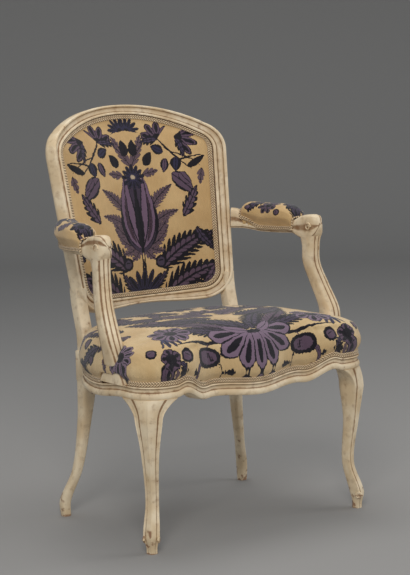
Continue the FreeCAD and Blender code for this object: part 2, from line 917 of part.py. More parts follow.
def support_ring(height, grow=0.0):
    """Section of the arm support, which flares over the rail and swells forward of the arm."""
    foot_reach = size("support_foot_reach")
    foot_length = size("support_foot_length")
    spread = size("arm_half_spread")
    waist = -size("support_waist_reach")
    width = size("support_waist_width")
    depth = size("support_waist_depth")
    swell = size("support_swell_height")
    inner = half_width - rail / 2
    span = support_top - swell
    knots = [
        (seat_top, inner, -foot_reach, rail, foot_length),
        (seat_top + 10, inner + 1, -foot_reach + 0.5, rail, foot_length - 14),
        (seat_top + 35, inner + 4, -foot_reach + 3, rail + 2, depth + 10),
        (swell, size("support_swell_x"), -size("support_swell_reach"), width + 3, depth + 6),
        (swell + span * 0.35, spread + 6, waist - 18, width + 1, depth + 2),
        (swell + span * 0.62, spread - 1, waist - 2, width, depth),
        (swell + span * 0.88, spread - 1, waist, width, depth + 1),
        (support_top, spread, waist + 2, width + 1, depth + 10),
    ]
    x, y, wide, deep = [through([(k[0], k[i]) for k in knots], height) for i in (1, 2, 3, 4)]
    half = wide / 2 + grow
    reach = deep / 2 + grow
    ring = [
        (half - 6, -reach),
        (half, -reach + 8),
        (half, reach - 8),
        (half - 6, reach),
        (-half + 6, reach),
        (-half, reach - 8),
        (-half, -reach + 8),
        (-half + 6, -reach),
        (-3, -reach - 1.5),
        (3, -reach - 1.5),
    ]
    return [V(x + out, y + forward, height) for out, forward in ring]


def support_tenon(gap=0.0):
    """Tenon under the support, down into the side rail."""
    middle = V(half_width - rail / 2, -size("support_foot_reach"), seat_top)
    reach = V(tenon / 2 + gap, 14 + gap, 0)
    return block(middle - reach - UP * (22 + gap), middle + reach + UP * 5)


def arm_support():
    span = support_top - seat_top
    marks = (0, 0.03, 0.07, 0.12, 0.2, 0.28, 0.36, 0.45, 0.54, 0.63, 0.72, 0.82, 0.92, 1)
    body = folded([support_ring(seat_top + span * mark) for mark in marks])
    return one_solid(body.fuse([arm_tenon(), support_tenon()]))


# Seat upholstery

strap = size("webbing")
crown_top = size("seat_crown_top")
skirt_out = -rebate + soft_gap + cloth
seat_middle = V(0, -75, 0)


def seat_ring(out, level=None, rise=None):
    """Closed outline at a level, or at a rise above the moulded band, moved out or in."""
    ring = []
    for point, outward, low in seat_outline():
        if out > -12:
            place = point + outward * out
        else:
            place = seat_middle + (point - seat_middle) * (1 + out / 270)
        height = level if rise is None else low + band + rise
        ring.append(place + UP * height)
    return ring


def seat_rings(inset):
    """Skin of the crowned seat from the flat of the crown, over the roll and down to the band."""
    swell = size("seat_swell") - inset
    top = crown_top - inset
    skirt = skirt_out - inset
    return [
        seat_ring(-170 - inset, level=top),
        seat_ring(-110 - inset, level=top - 1.5),
        seat_ring(-70 - inset, level=top - 5),
        seat_ring(-38 - inset, level=top - 12),
        seat_ring(-18 - inset, level=top - 21),
        seat_ring(-4 - inset, level=top - 34),
        seat_ring(swell - 2, rise=38),
        seat_ring(swell, rise=26),
        seat_ring(skirt, rise=gimp_width),
        seat_ring(skirt, rise=soft_gap),
    ]


def post_notch():
    low = (rear_inner_x - 1, rear_front_y - 1, 280)
    return block(low, (rear_outer_x + 40, rear_back_y + 40, crown_top + 30))


def support_notch():
    """Room for the foot of an arm support, where the cloth is cut and turned round it."""
    reach = size("support_foot_length") / 2 + 2.3
    middle = -size("support_foot_reach")
    low = block((half_width - 24, middle - reach, 280), (half_width + 20, middle + reach, seat_top))
    span = crown_top + 20 - seat_top
    marks = (0, 0.1, 0.25, 0.45, 0.7, 1)
    high = folded([support_ring(seat_top + span * mark, 1.5) for mark in marks])
    return [low, high]


def notched(shape):
    for notch in [post_notch()] + support_notch():
        shape = shape.cut(notch).cut(mirrored(notch))
    return one_solid(shape)


def seat_cover():
    inner = seat_rings(cloth)
    return notched(folded(seat_rings(0) + inner[-1:] + inner[:-1:2][::-1]))


def seat_stuffing():
    inset = cloth + soft_gap
    base = seat_top + 2 * strap + 1 + soft_gap
    rings = seat_rings(inset + 0.5)[:6:2]
    rings.append(seat_ring(-14, level=crown_top - 40))
    rings += [seat_ring(-6, level=base + 8), seat_ring(-10, level=base)]
    return notched(folded(rings))


def gimp_strip(stations):
    """Flat braid that covers the tacked edge of the seat cloth along these stations."""
    near = skirt_out + soft_gap
    far = near + gimp
    low, high = 0.5, gimp_width - 0.5
    corners = [(near, low), (far, low), (far, high), (near, high)]
    sections = []
    for point, outward, edge in stations:
        places = [point + outward * out + UP * (edge + band + rise) for out, rise in corners]
        sections.append(polygon(places))
    return loft(sections)


def front_gimp():
    half = front_stations() + knee_stations() + side_stations()[:1]
    left = [(V(-p.x, p.y, 0), V(-n.x, n.y, 0), low) for p, n, low in half[1:]]
    return gimp_strip(left[::-1] + half)


def side_gimp():
    start = size("support_foot_length") / 2 + 4 - size("support_foot_reach")
    stations = [side_station(start)]
    stations += [station for station in side_stations() if station[0].y > start + 5]
    last = stations[-1]
    share = (rear_front_y - 2 - last[0].y) / (seat_corner[0].y - last[0].y)
    end = tuple(a + (b - a) * share for a, b in zip(last, seat_corner))
    return gimp_strip(stations + [end])


def rear_gimp():
    marks = (-0.98, -0.75, -0.5, -0.25, 0, 0.25, 0.5, 0.75, 0.98)
    return gimp_strip([rear_station(rear_inner_x * mark) for mark in marks])


# Back upholstery

margin_gap = 1.2
braid = gimp_width + 1.5
SIDE_STEPS = (0, 6, braid, 30, 55)
INNER_SHARES = (0.66, 0.33)
SOFT_STEPS = (0, braid, 32, 60, 100)


def sight_span(x, inset=0.0):
    """Lowest and highest point of the sight outline at x, drawn in by the inset."""
    x = abs(x)
    corner = size("corner_radius") - inset
    bend = size("shoulder_radius") - inset
    crest = size("crest_radius") - inset
    low = sight_bottom + inset
    if x > corner_middle.x:
        low = corner_middle.y - math.sqrt(max(corner**2 - (x - corner_middle.x) ** 2, 0))
    if x > crest * math.cos(crest_angle):
        return low, shoulder.y + math.sqrt(max(bend**2 - (x - shoulder.x) ** 2, 0))
    return low, crest_middle + math.sqrt(crest**2 - x**2)


def sight_half_width(height, inset=0.0):
    return beside_sight(0, height) - inset


def panel_crown(x, height):
    """Rise of the stuffed back, nothing under the braid at its edge and full in the middle."""
    low, high = sight_span(x)
    inward = min(sight_half_width(height) - abs(x), height - low, high - height) - braid
    return (size("back_crown") - cover_top) * math.sin(math.pi / 2 * min(max(inward / 75, 0), 1))


def panel_columns():
    """Columns of a panel from left to right, as a share of the half width and a step inwards."""
    right = [(1, step) for step in SIDE_STEPS] + [(share, SIDE_STEPS[-1]) for share in INNER_SHARES]
    return [(-share, step) for share, step in right] + [(0, 0)] + right[::-1]


def panel_places(share, step, inset, steps):
    """Points (x, height) up one column, from the bottom of the outline to its top."""
    rows = [(0, rise) for rise in steps] + [(0.5, 0)] * (len(steps) > 1)
    rows += [(1, -rise) for rise in steps[::-1]]
    places = []
    for part, rise in rows:
        height = size("sight_top") / 2
        for _ in range(6):
            x = share * (sight_half_width(height, inset) - step)
            low, high = sight_span(x, inset)
            height = low + (high - low) * part + rise
        places.append((x, height))
    return places


def panel(near, far, inset=margin_gap, steps=(0,)):
    """A layer of the back between two surfaces, each given as how proud it is at x and height."""
    rings = []
    for share, step in panel_columns():
        places = panel_places(share, step, inset, steps)
        ring = [on_back(x, height, near(x, height)) for x, height in places]
        ring += [on_back(x, height, far(x, height)) for x, height in places[::-1]]
        rings.append(ring)
    return folded(rings, flat_ends=False)


def sheet_panel(near, thick):
    return panel(lambda x, height: near, lambda x, height: near - thick)


floor = -size("front_rebate")
strap_low = floor + 2 * soft_gap
hessian_low = strap_low + 2 * strap + soft_gap
hessian_top = hessian_low + 0.8
cover_low = hessian_top + soft_gap
cover_top = cover_low + cloth
outside_top = size("rear_rebate") - thickness - 1


def inside_back_cover():
    def top(x, height):
        return cover_top + panel_crown(x, height)

    return panel(top, lambda x, height: top(x, height) - cloth, margin_gap, SOFT_STEPS)


def back_stuffing():
    inset = braid + 8

    def top(x, height):
        return cover_low + max(panel_crown(x, height) - 3, 1.5)

    return panel(top, lambda x, height: cover_low + 1.2, inset, SOFT_STEPS)


def back_hessian():
    return sheet_panel(hessian_top, hessian_top - hessian_low)


def outside_back_cover():
    return sheet_panel(outside_top, cloth)


def back_strap(places, low, high, near):
    """A strap of the back's webbing over these places, between two heights."""
    rings = []
    for height in (low, high):
        ring = [on_back(x, height, near + strap) for x in places]
        ring += [on_back(x, height, near) for x in places[::-1]]
        rings.append(polygon(ring))
    return loft(rings)


def back_webbing():
    half_strap = size("strap_width") / 2
    straps = []
    for x in (-110, 0, 110):
        edge = abs(x) + half_strap
        top = crest_middle + math.sqrt(size("crest_radius") ** 2 - edge**2) - 2
        places = [x - half_strap, x, x + half_strap]
        straps.append(back_strap(places, sight_bottom + 2, top, strap_low))
    for height in (100, 200, 300):
        low = height - half_strap
        half = sight_half_width(low, 2)
        places = [half * mark / 5 for mark in range(-5, 6)]
        straps.append(back_strap(places, low, height + half_strap, strap_low + strap - 0.1))
    return one_solid(straps[0].fuse(straps[1:]))


def braid_ring(near):
    """Flat braid right round the back, over the tacked edge of the cloth."""
    side = side_pairs()
    crest = [crest_pair(crest_joint_x * mark) for mark in (0.8, 0.6, 0.4, 0.2, 0)]
    bottom = [bottom_pair(bottom_joint_x * mark) for mark in (0, 0.25, 0.5, 0.75)]
    right = bottom + side + crest
    left = [tuple(V(-p.x, p.y, 0) for p in pair) for pair in right[1:-1]]
    rings = []
    for inner, outer in right + left[::-1]:
        direction = (outer - inner).normalize()
        edge = inner - direction * margin_gap
        far = inner - direction * gimp_width
        corners = [(edge, near), (edge, near + gimp), (far, near + gimp), (far, near)]
        rings.append([on_back(place.x, place.y, proud) for place, proud in corners])
    return folded(rings, round_trip=True)


def inside_back_gimp():
    return braid_ring(cover_top + 2 * soft_gap)


def outside_back_gimp():
    return braid_ring(outside_top - cloth - soft_gap - gimp)


# Arm pads

pad_front = -size("arm_pad_front_reach")
pad_rear = size("arm_pad_rear_y")
braid_rise = 9
PAD_MARKS = (-1, -0.94, -0.82, -0.6, -0.2, 0.2, 0.6, 0.82, 0.94, 1)


def pad_places():
    middle = (pad_front + pad_rear) / 2
    reach = (pad_rear - pad_front) / 2
    return [middle + reach * mark for mark in PAD_MARKS]


def pad_edge(y):
    """How far above the arm's underside the cloth stops, rising where the arm meets the stile."""
    return ease(8, 22, (y - 55) / (pad_rear - 55))


def pad_profile(y, inset):
    """Half of the pad's section as (out, up), from the edge on the arm's side to the crown."""
    _, height, width = arm_size(y)
    run = (2 * y - pad_front - pad_rear) / (pad_rear - pad_front)
    full = math.sqrt(max(1 - abs(run) ** 4, 0))
    side = width / 2 + soft_gap + cloth - inset
    spread = side + (size("arm_pad_width") / 2 - size("arm_width") / 2 - soft_gap - cloth) * full
    start = height - 8
    wood_top = size("arm_low") + size("arm_thickness")
    rise = height + soft_gap + cloth - start + (size("arm_pad_top") - wood_top) * full - inset
    return [
        (side, pad_edge(y)),
        (side, max(pad_edge(y) + braid_rise, start - 4)),
        (spread, start + rise * 0.38),
        (spread - spread * 0.12, start + rise * 0.74),
        (spread * 0.55, start + rise * 0.94),
        (0, start + rise),
    ]


def pad_points(y, profile):
    """Points of a half profile carried across the arm, from its left side to its right."""
    middle, across = arm_frame(y)
    low = arm_size(y)[0]
    whole = [(-out, up) for out, up in profile] + profile[-2::-1]
    return [middle + across * out + UP * (low + up) for out, up in whole]


def arm_cover():
    rings = []
    for y in pad_places():
        outer = pad_points(y, pad_profile(y, 0))
        inner = pad_points(y, pad_profile(y, cloth))
        rings.append(outer + inner[::-1])
    return folded(rings)


def arm_stuffing():
    inset = cloth + soft_gap
    rings = []
    for y in pad_places()[1:-1]:
        _, height, width = arm_size(y)
        profile = [(width / 2 - 7, height + 0.8), (width / 2 - 0.5, height - 6)]
        profile += [(max(out, width / 2 - 0.5), up) for out, up in pad_profile(y, inset)[2:4]]
        profile += pad_profile(y, inset)[4:]
        rings.append(pad_points(y, profile))
    return folded(rings)


def pad_braid(side):
    """Braid along one side of the arm, over the edge of the pad's cloth."""
    rings = []
    for y in [pad_front - gimp] + pad_places() + [pad_rear + gimp]:
        middle, across = arm_frame(y)
        low, _, width = arm_size(y)
        near = width / 2 + cloth + 2 * soft_gap
        edge = low + pad_edge(y) - 1
        ring = []
        for out, up in ((near, 0), (near + gimp, 0), (near + gimp, braid_rise), (near, braid_rise)):
            ring.append(middle + across * (side * out) + UP * (edge + up))
        rings.append(ring)
    return folded(rings)


def pad_end_braid(y):
    """Braid that goes over the arm at an end of the pad and joins the two sides."""
    _, height, width = arm_size(y)
    edge = pad_edge(y) - 1
    out = width / 2 + cloth + 2 * soft_gap + gimp
    outer = [(out, edge), (out, height - 6), (out - 8, height + 9), (0, height + 11)]
    inner = [(width / 2 + soft_gap, edge), (width / 2 - 1, height - 8)]
    inner += [(width / 2 - 7.5, height + soft_gap), (0, height + soft_gap)]
    step = V(0, gimp / 2 + soft_gap / 2, 0)
    ring = pad_points(y, outer) + pad_points(y, inner)[::-1]
    return folded([[place - step for place in ring], [place + step for place in ring]])


def arm_gimp():
    ends = [pad_end_braid(pad_front - gimp), pad_end_braid(pad_rear + gimp)]
    return one_solid(pad_braid(1).fuse([pad_braid(-1)] + ends))


# Layers under the seat cloth and the rail behind it

def bind(item, **formulas):
    """Tie properties of a document object to cells of the sheet."""
    for name, formula in formulas.items():
        item.setExpression(name, formula)
    return item


def sheet_box(name, corner, **formulas):
    box = doc.addObject("Part::Box", name)
    box.Placement.Base = V(*corner)
    return bind(box, **formulas)


def prism(name, head, direction):
    """Eight-sided peg from its head along a direction."""
    item = doc.addObject("Part::Prism", name)
    item.Polygon = 8
    item.Placement = FreeCAD.Placement(head, FreeCAD.Rotation(UP, direction))
    return item


def seat_webbing(name):
    """Straps woven across the frame and tacked on top of the rails."""
    half_strap = size("strap_width") / 2
    straps = []
    for i, x in enumerate((-155, -93, -31, 31, 93, 155)):
        start = max(front_line(x - half_strap), front_line(x), front_line(x + half_strap))
        start += rebate + 3
        box = sheet_box(
            f"StrapAlong{i}",
            (x - half_strap, start, seat_top),
            Width=f"Sizes.rear_post_front + {18 - start - 0.05 * abs(x)}",
            Length="Sizes.strap_width",
            Height="Sizes.webbing",
        )
        straps.append(box)
    for i, y in enumerate((-206, -82, -24, 34)):
        corner = 12 if y < side_joint_y else 0
        reach = side_line(y + half_strap) - rebate - 5 - corner
        box = sheet_box(
            f"StrapAcross{i}",
            (-reach, y - half_strap, seat_top + strap),
            Length=f"{2 * reach}",
            Width="Sizes.strap_width",
            Height="Sizes.webbing",
        )
        straps.append(box)
    web = doc.addObject("Part::MultiFuse", name)
    web.Shapes = straps
    return web


def seat_hessian(name):
    """Open cloth over the webbing, cut round the posts and the arm supports."""
    body = doc.addObject("PartDesign::Body", name)
    sketch = body.newObject("Sketcher::SketchObject", name + "Outline")
    plane = [item for item in body.Origin.OriginFeatures if item.Role == "XY_Plane"][0]
    sketch.AttachmentSupport = (plane, "")
    sketch.MapMode = "FlatFace"
    front = -size("front_hollow_reach") + rebate + 4
    inside_foot = half_width - rail - 4
    right = [(inside_foot, front), (inside_foot, -size("support_waist_reach") + 40)]
    right += [(rear_outer_x, rear_front_y - 14), (rear_inner_x, rear_front_y - 4)]
    right.append((rear_inner_x - 4, rear_front_y + 18))
    corners = right + [(-x, y) for x, y in right[::-1]]
    for (x1, y1), (x2, y2) in zip(corners, corners[1:] + corners[:1]):
        sketch.addGeometry(Part.LineSegment(V(x1, y1, 0), V(x2, y2, 0)))
    pad = body.newObject("PartDesign::Pad", name + "Sheet")
    pad.Profile = sketch
    pad.Length = 1
    body.Placement.Base = V(0, 0, seat_top + 2 * strap)
    return body


def back_seat_rail(name):
    """Bowed rail between the rear posts, rebated for the seat cloth, with a tenon at each end."""
    bow = size("back_rail_bow")
    radius = (rear_inner_x**2 + bow**2) / (2 * bow)
    axis = V(0, rear_back_y - 6 + bow - radius, 0)
    tiers = (
        ("Lower", radius, size("side_rear_low") + band),
        ("Upper", radius - rebate - soft_gap, seat_top),
    )
    level = size("back_rail_low")
    layers = []
    for tier, reach, top in tiers:
        disc = doc.addObject("Part::Cylinder", name + tier)
        disc.Radius = reach
        disc.Height = top - level
        disc.Placement.Base = axis + UP * level
        layers.append(disc)
        level = top
    outside = doc.addObject("Part::MultiFuse", name + "Outside")
    outside.Shapes = layers
    inside = doc.addObject("Part::Cylinder", name + "Inside")
    inside.Placement.Base = axis
    inside.Radius = radius - rail
    inside.Height = seat_top + 10
    ring = doc.addObject("Part::Cut", name + "Ring")
    ring.Base, ring.Tool = outside, inside
    span = sheet_box(
        name + "Span",
        (-rear_inner_x, rear_front_y - 10, 0),
        Length="2 * (Sizes.side_rear_half_width - Sizes.rear_block_side)",
        Width="4 * Sizes.rail_thickness",
        Height="Sizes.seat_rail_top + 10",
    )
    bowed = doc.addObject("Part::Common", name + "Bow")
    bowed.Base, bowed.Tool = ring, span
    ends = []
    for side in (-1, 1):
        end = sheet_box(
            f"{name}Tenon{side + 1}",
            (min(side * (rear_inner_x - 5), side * (rear_inner_x + 13)), tenon_back_y, tenon_low),
            Width="Sizes.tenon_thickness",
            Height=f"Sizes.seat_rail_top - 8 - {tenon_low}",
        )
        end.Length = 18
        ends.append(end)
    joined = doc.addObject("Part::MultiFuse", name + "Solid")
    joined.Shapes = [bowed] + ends
    holes = []
    for side in (-1, 1):
        head, direction, length = peg_places()["back_rail_peg"]
        hole = prism(f"{name}PegHole{side + 1}", V(side * head.x, head.y, head.z), direction)
        hole.Circumradius = size("peg_diameter") / 2 + peg_gap
        hole.Height = length + peg_gap
        holes.append(hole)
    drill = doc.addObject("Part::MultiFuse", name + "PegHoles")
    drill.Shapes = holes
    whole = doc.addObject("Part::Cut", name)
    whole.Base, whole.Tool = joined, drill
    return whole


tenon_back_y = rear_back_y - 10 - tenon / 2


# Sub-parts of the chair, each one physical piece

def solid_object(name, make):
    item = doc.addObject("Part::Feature", name)
    item.Label = name
    item.Shape = make()
    item.Placement = FreeCAD.Placement()
    return item


def mirror_object(name, source):
    item = doc.addObject("Part::Mirroring", name)
    item.Label = name
    item.Source = source
    item.Normal = V(1, 0, 0)
    item.Base = V(0, 0, 0)
    return item


MIDDLE = {
    "crest_rail": crest_rail,
    "back_bottom_rail": back_bottom_rail,
    "front_seat_rail": front_seat_rail,
    "seat_stuffing": seat_stuffing,
    "seat_cover": seat_cover,
    "seat_front_gimp": front_gimp,
    "seat_back_gimp": rear_gimp,
    "back_webbing": back_webbing,
    "back_hessian": back_hessian,
    "back_stuffing": back_stuffing,
    "inside_back_cover": inside_back_cover,
    "inside_back_gimp": inside_back_gimp,
    "outside_back_cover": outside_back_cover,
    "outside_back_gimp": outside_back_gimp,
}
PAIRS = {
    "front_leg": front_leg,
    "back_post": rear_post,
    "side_seat_rail": side_seat_rail,
    "arm": arm,
    "arm_support": arm_support,
    "seat_side_gimp": side_gimp,
    "arm_stuffing": arm_stuffing,
    "arm_cover": arm_cover,
    "arm_gimp": arm_gimp,
}

nodes = [solid_object(name, make) for name, make in MIDDLE.items()]
for name, make in PAIRS.items():
    right = solid_object("right_" + name, make)
    nodes += [right, mirror_object("left_" + name, right)]
nodes += [seat_webbing("seat_webbing"), seat_hessian("seat_hessian")]
nodes.append(back_seat_rail("back_seat_rail"))
for name, (head, direction, length) in peg_places().items():
    for side, sign in (("right_", 1), ("left_", -1)):
        place = V(sign * head.x, head.y, head.z)
        item = prism(side + name, place, V(sign * direction.x, direction.y, 0))
        item.Circumradius = size("peg_diameter") / 2
        item.setExpression("Circumradius", "Sizes.peg_diameter / 2")
        item.Height = length - 0.5
        nodes.append(item)

doc.recompute()

for item in doc.Objects:
    if "Invalid" in item.State or "Error" in item.State:
        raise RuntimeError(f"{item.Label} did not recompute: {item.State}")
for item in nodes:
    if item.Shape.isNull() or not item.Shape.isValid():
        raise RuntimeError(f"{item.Label} is not a valid shape")
    if len(item.Shape.Solids) != 1:
        raise RuntimeError(f"{item.Label} is not one solid")

os.makedirs("parts", exist_ok=True)
for item in nodes:
    item.Shape.exportStep(f"parts/{item.Label}.step")
print(len(nodes), "sub-parts written")
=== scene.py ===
# %% [markdown]
# An open armchair in Blender.
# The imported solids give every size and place, and this file gives the looks.
# They are loaded first, and whatever is made later stays in the same frame, in metres.

# %% Load the frame
import bpy
import bmesh
import math
from mathutils import Matrix, Vector


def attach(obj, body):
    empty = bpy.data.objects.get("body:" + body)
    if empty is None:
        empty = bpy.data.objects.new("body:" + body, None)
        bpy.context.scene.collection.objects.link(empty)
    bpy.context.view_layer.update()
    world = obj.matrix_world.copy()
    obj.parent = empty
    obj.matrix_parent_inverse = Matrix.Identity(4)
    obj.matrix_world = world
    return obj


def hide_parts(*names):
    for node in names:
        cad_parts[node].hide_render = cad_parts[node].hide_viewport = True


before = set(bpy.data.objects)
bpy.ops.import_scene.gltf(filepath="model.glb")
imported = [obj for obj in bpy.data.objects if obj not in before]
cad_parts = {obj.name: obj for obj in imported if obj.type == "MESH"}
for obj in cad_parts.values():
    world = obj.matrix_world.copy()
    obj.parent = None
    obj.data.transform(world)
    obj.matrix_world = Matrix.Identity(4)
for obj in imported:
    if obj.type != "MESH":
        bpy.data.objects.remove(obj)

MM = 0.001
UP = Vector((0, 0, 1))
FRONT = Vector((0, -1, 0))
REAR = Vector((0, 1, 0))
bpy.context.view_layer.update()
print("solids loaded:", len(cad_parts))

# %% [markdown]
# The camera comes first, because every later choice is judged through it.
# It could be set by eye, but a rail seen from the wrong height never looks right, so its
# direction, distance and lens come from matching corners of the solids to the photograph.

# %% Camera
AZIMUTH, ELEVATION, ROLL = math.radians(-36.7754), math.radians(7.7916), math.radians(-1.3)
LOOKED_AT = Vector((-0.0136, -0.0878, 0.5102))
CAMERA_DISTANCE = 3.9802
FOCAL_PIXELS, PHOTO_HEIGHT, SENSOR = 1833.634, 575, 36
backward = Vector((
    math.sin(AZIMUTH) * math.cos(ELEVATION),
    -math.cos(AZIMUTH) * math.cos(ELEVATION),
    math.sin(ELEVATION),
))
rightward = UP.cross(backward).normalized()
facing = Matrix((rightward, backward.cross(rightward), backward)).transposed().to_4x4()
bpy.ops.object.camera_add(location=LOOKED_AT + backward * CAMERA_DISTANCE)
camera = bpy.context.object
camera.name = "camera"
camera.rotation_euler = (facing @ Matrix.Rotation(ROLL, 4, "Z")).to_euler()
camera.data.sensor_width = SENSOR
camera.data.lens = FOCAL_PIXELS * SENSOR / PHOTO_HEIGHT
bpy.context.scene.camera = camera
bpy.context.scene.view_settings.view_transform = "Standard"
print("lens", round(camera.data.lens, 1), "mm")

# %% [markdown]
# The chair is made of long curved sticks: rails, stiles, legs and arms.
# Each could be cut from a cube or sculpted, but a joiner thinks in sections along a line.
# The first tools read a few known sizes as one flowing curve, and draw smooth rings through
# points. Numbers are millimetres until they reach a mesh.

# %% Curves and rings through known sizes
def clamp(value, low=0.0, high=1.0):
    return min(max(value, low), high)


def ease(first, last, share):
    return first + (last - first) * (1 - math.cos(math.pi * clamp(share))) / 2


def between(knots, place):
    """Value that rests at every knot and eases from one to the next."""
    if place <= knots[0][0]:
        return knots[0][1]
    for (start, low), (end, high) in zip(knots, knots[1:]):
        if place <= end:
            return ease(low, high, (place - start) / (end - start))
    return knots[-1][1]


def through(knots, place):
    """Value on one flowing curve through all the knots."""
    places = [knot[0] for knot in knots]
    values = [knot[1] for knot in knots]
    slopes = []
    for i in range(len(knots)):
        before, after = max(i - 1, 0), min(i + 1, len(knots) - 1)
        slopes.append((values[after] - values[before]) / (places[after] - places[before]))
    place = clamp(place, places[0], places[-1])
    i = max(k for k in range(len(knots) - 1) if places[k] <= place)
    span = places[i + 1] - places[i]
    t = (place - places[i]) / span
    return (
        (2 * t**3 - 3 * t**2 + 1) * values[i]
        + (t**3 - 2 * t**2 + t) * span * slopes[i]
        + (3 * t**2 - 2 * t**3) * values[i + 1]
        + (t**3 - t**2) * span * slopes[i + 1]
    )


def readings(table, place):
    """Each column of a table, read at one place of its first column."""
    return [through([(row[0], row[i]) for row in table], place) for i in range(1, len(table[0]))]


def steps(first, last, count):
    return [first + (last - first) * i / count for i in range(count + 1)]


def swung(middle, radius, angle):
    return middle + Vector((math.cos(angle), math.sin(angle), 0)) * radius


def heart_of(ring):
    return sum(ring, Vector()) / len(ring)


def grown(ring, factor):
    heart = heart_of(ring)
    return [heart + (place - heart) * factor for place in ring]


def beaded(ring, grooves, depth):
    """Ring with some points cut in towards its middle."""
    heart = heart_of(ring)
    return [
        place + (heart - place).normalized() * depth if i in grooves else place
        for i, place in enumerate(ring)
    ]


def both_sides(half):
    """Arch of (out, up) points made from its right half, which ends in the middle."""
    return [(-out, up) for out, up in half] + half[-2::-1]


def rounded(ring, per=4):
    """Closed ring of points with a smooth curve drawn through them."""
    count = len(ring)
    smooth = []
    for i in range(count):
        before, near, far, after = (ring[(i + k) % count] for k in (-1, 0, 1, 2))
        for k in range(per):
            t = k / per
            smooth.append(
                near
                + (far - before) * (t / 2)
                + (before * 2 - near * 5 + far * 4 - after) * (t * t / 2)
                + (near * 3 - before - far * 3 + after) * (t**3 / 2)
            )
    return smooth


# %% [markdown]
# A piece starts as a circle of points laid on its first section, and is extruded from one
# section to the next. A sweep along a curve would be shorter, but it decides by itself how
# the section turns. Here every section is placed, and each point keeps its column and row.

# %% A piece pulled over its sections
def deselect():
    if bpy.context.object and bpy.context.object.mode != "OBJECT":
        bpy.ops.object.mode_set(mode="OBJECT")
    bpy.ops.object.select_all(action="DESELECT")


def measure(points, closed):
    """Distance travelled along a row of points, in metres."""
    ring = list(points) + ([points[0]] if closed else [])
    run = [0.0]
    for near, far in zip(ring, ring[1:]):
        run.append(run[-1] + (far - near).length * MM)
    return run


def open_edges():
    bpy.ops.mesh.select_all(action="DESELECT")
    bpy.ops.mesh.select_non_manifold(extend=False)


def pulled(name, sections, hollow=None, smooth=38, round_trip=False):
    """Circle of points extruded over sections; hollow says which points gather dirt."""
    deselect()
    count = len(sections[0])
    bpy.ops.mesh.primitive_circle_add(vertices=count, radius=0.01, enter_editmode=True)
    piece = bpy.context.object
    piece.name = piece.data.name = name
    piece.location = (0, 0, 0)
    mesh = piece.data
    edit = bmesh.from_edit_mesh(mesh)
    column = edit.verts.layers.int.new("column")
    row = edit.verts.layers.int.new("row")
    dirt = edit.verts.layers.float.new("hollow")
    for i, vertex in enumerate(edit.verts):
        vertex[column] = i
        vertex[dirt] = hollow[i % len(hollow)] if hollow else 0.0
        vertex.co = sections[0][i] * MM
    bmesh.update_edit_mesh(mesh)
    for i, section in enumerate(sections[1:], start=1):
        bpy.ops.mesh.extrude_region_move()
        edit = bmesh.from_edit_mesh(mesh)
        column, row = edit.verts.layers.int["column"], edit.verts.layers.int["row"]
        for vertex in edit.verts:
            if vertex.select:
                vertex[row] = i
                vertex.co = section[vertex[column]] * MM
        bmesh.update_edit_mesh(mesh)
    open_edges()
    if round_trip:
        bpy.ops.mesh.bridge_edge_loops()
    else:
        bpy.ops.mesh.edge_face_add()
        open_edges()
        bpy.ops.mesh.fill_holes(sides=0)
    bpy.ops.mesh.select_all(action="SELECT")
    bpy.ops.mesh.normals_make_consistent(inside=False)
    edit = bmesh.from_edit_mesh(mesh)
    column, row = edit.verts.layers.int["column"], edit.verts.layers.int["row"]
    laid = edit.loops.layers.uv.verify()
    across = measure(sections[len(sections) // 2], True)
    along = measure([section[0] for section in sections], round_trip)
    for face in edit.faces:
        seam = max(loop.vert[column] for loop in face.loops) == count - 1
        turn = max(loop.vert[row] for loop in face.loops) == len(sections) - 1
        first = min(loop.vert[row] for loop in face.loops) == 0
        for loop in face.loops:
            c, r = loop.vert[column], loop.vert[row]
            c = count if seam and c == 0 else c
            r = len(sections) if round_trip and turn and first and r == 0 else r
            loop[laid].uv = (along[r], across[c])
    bmesh.update_edit_mesh(mesh)
    bpy.ops.object.mode_set(mode="OBJECT")
    bpy.ops.object.shade_smooth_by_angle(angle=math.radians(smooth))
    piece.select_set(False)
    return piece


# %% [markdown]
# The chair is the same on both sides, so the right-hand pieces are made and mirrored.
# A mirror modifier would weld both sides into one piece, and the frame wants them apart.
# Each finished piece gets its material, and the solids that it stands for are hidden.

# %% Copies, joined pieces and the frame's book-keeping
def chosen(piece):
    deselect()
    piece.select_set(True)
    bpy.context.view_layer.objects.active = piece


def mirror_copy(piece, name):
    """The same piece for the other side of the chair."""
    chosen(piece)
    bpy.ops.object.duplicate()
    twin = bpy.context.object
    twin.name = twin.data.name = name
    bpy.ops.object.mode_set(mode="EDIT")
    bpy.ops.mesh.select_all(action="SELECT")
    bpy.ops.transform.mirror(constraint_axis=(True, False, False), center_override=(0, 0, 0))
    bpy.ops.mesh.normals_make_consistent(inside=False)
    bpy.ops.object.mode_set(mode="OBJECT")
    twin.select_set(False)
    return twin


def joined(name, shapes):
    """Several shapes made into one piece."""
    chosen(shapes[0])
    for shape in shapes:
        shape.select_set(True)
    bpy.ops.object.join()
    whole = bpy.context.object
    whole.name = whole.data.name = name
    whole.select_set(False)
    return whole


def dress(piece, material, slot, *nodes):
    """Give a piece its finish and hide the solids it stands for."""
    piece.data.materials.clear()
    piece.data.materials.append(material)
    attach(piece, "root")
    if nodes:
        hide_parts(*nodes)


def pair(piece, material, slot, name, *nodes):
    """Dress a right-hand piece, and its mirror copy for the left."""
    twin = mirror_copy(piece, "left_" + name)
    dress(piece, material, slot, *["right_" + item for item in nodes])
    dress(twin, material, slot, *["left_" + item for item in nodes])
    print(name, len(piece.data.polygons), "faces a side")
    return piece, twin


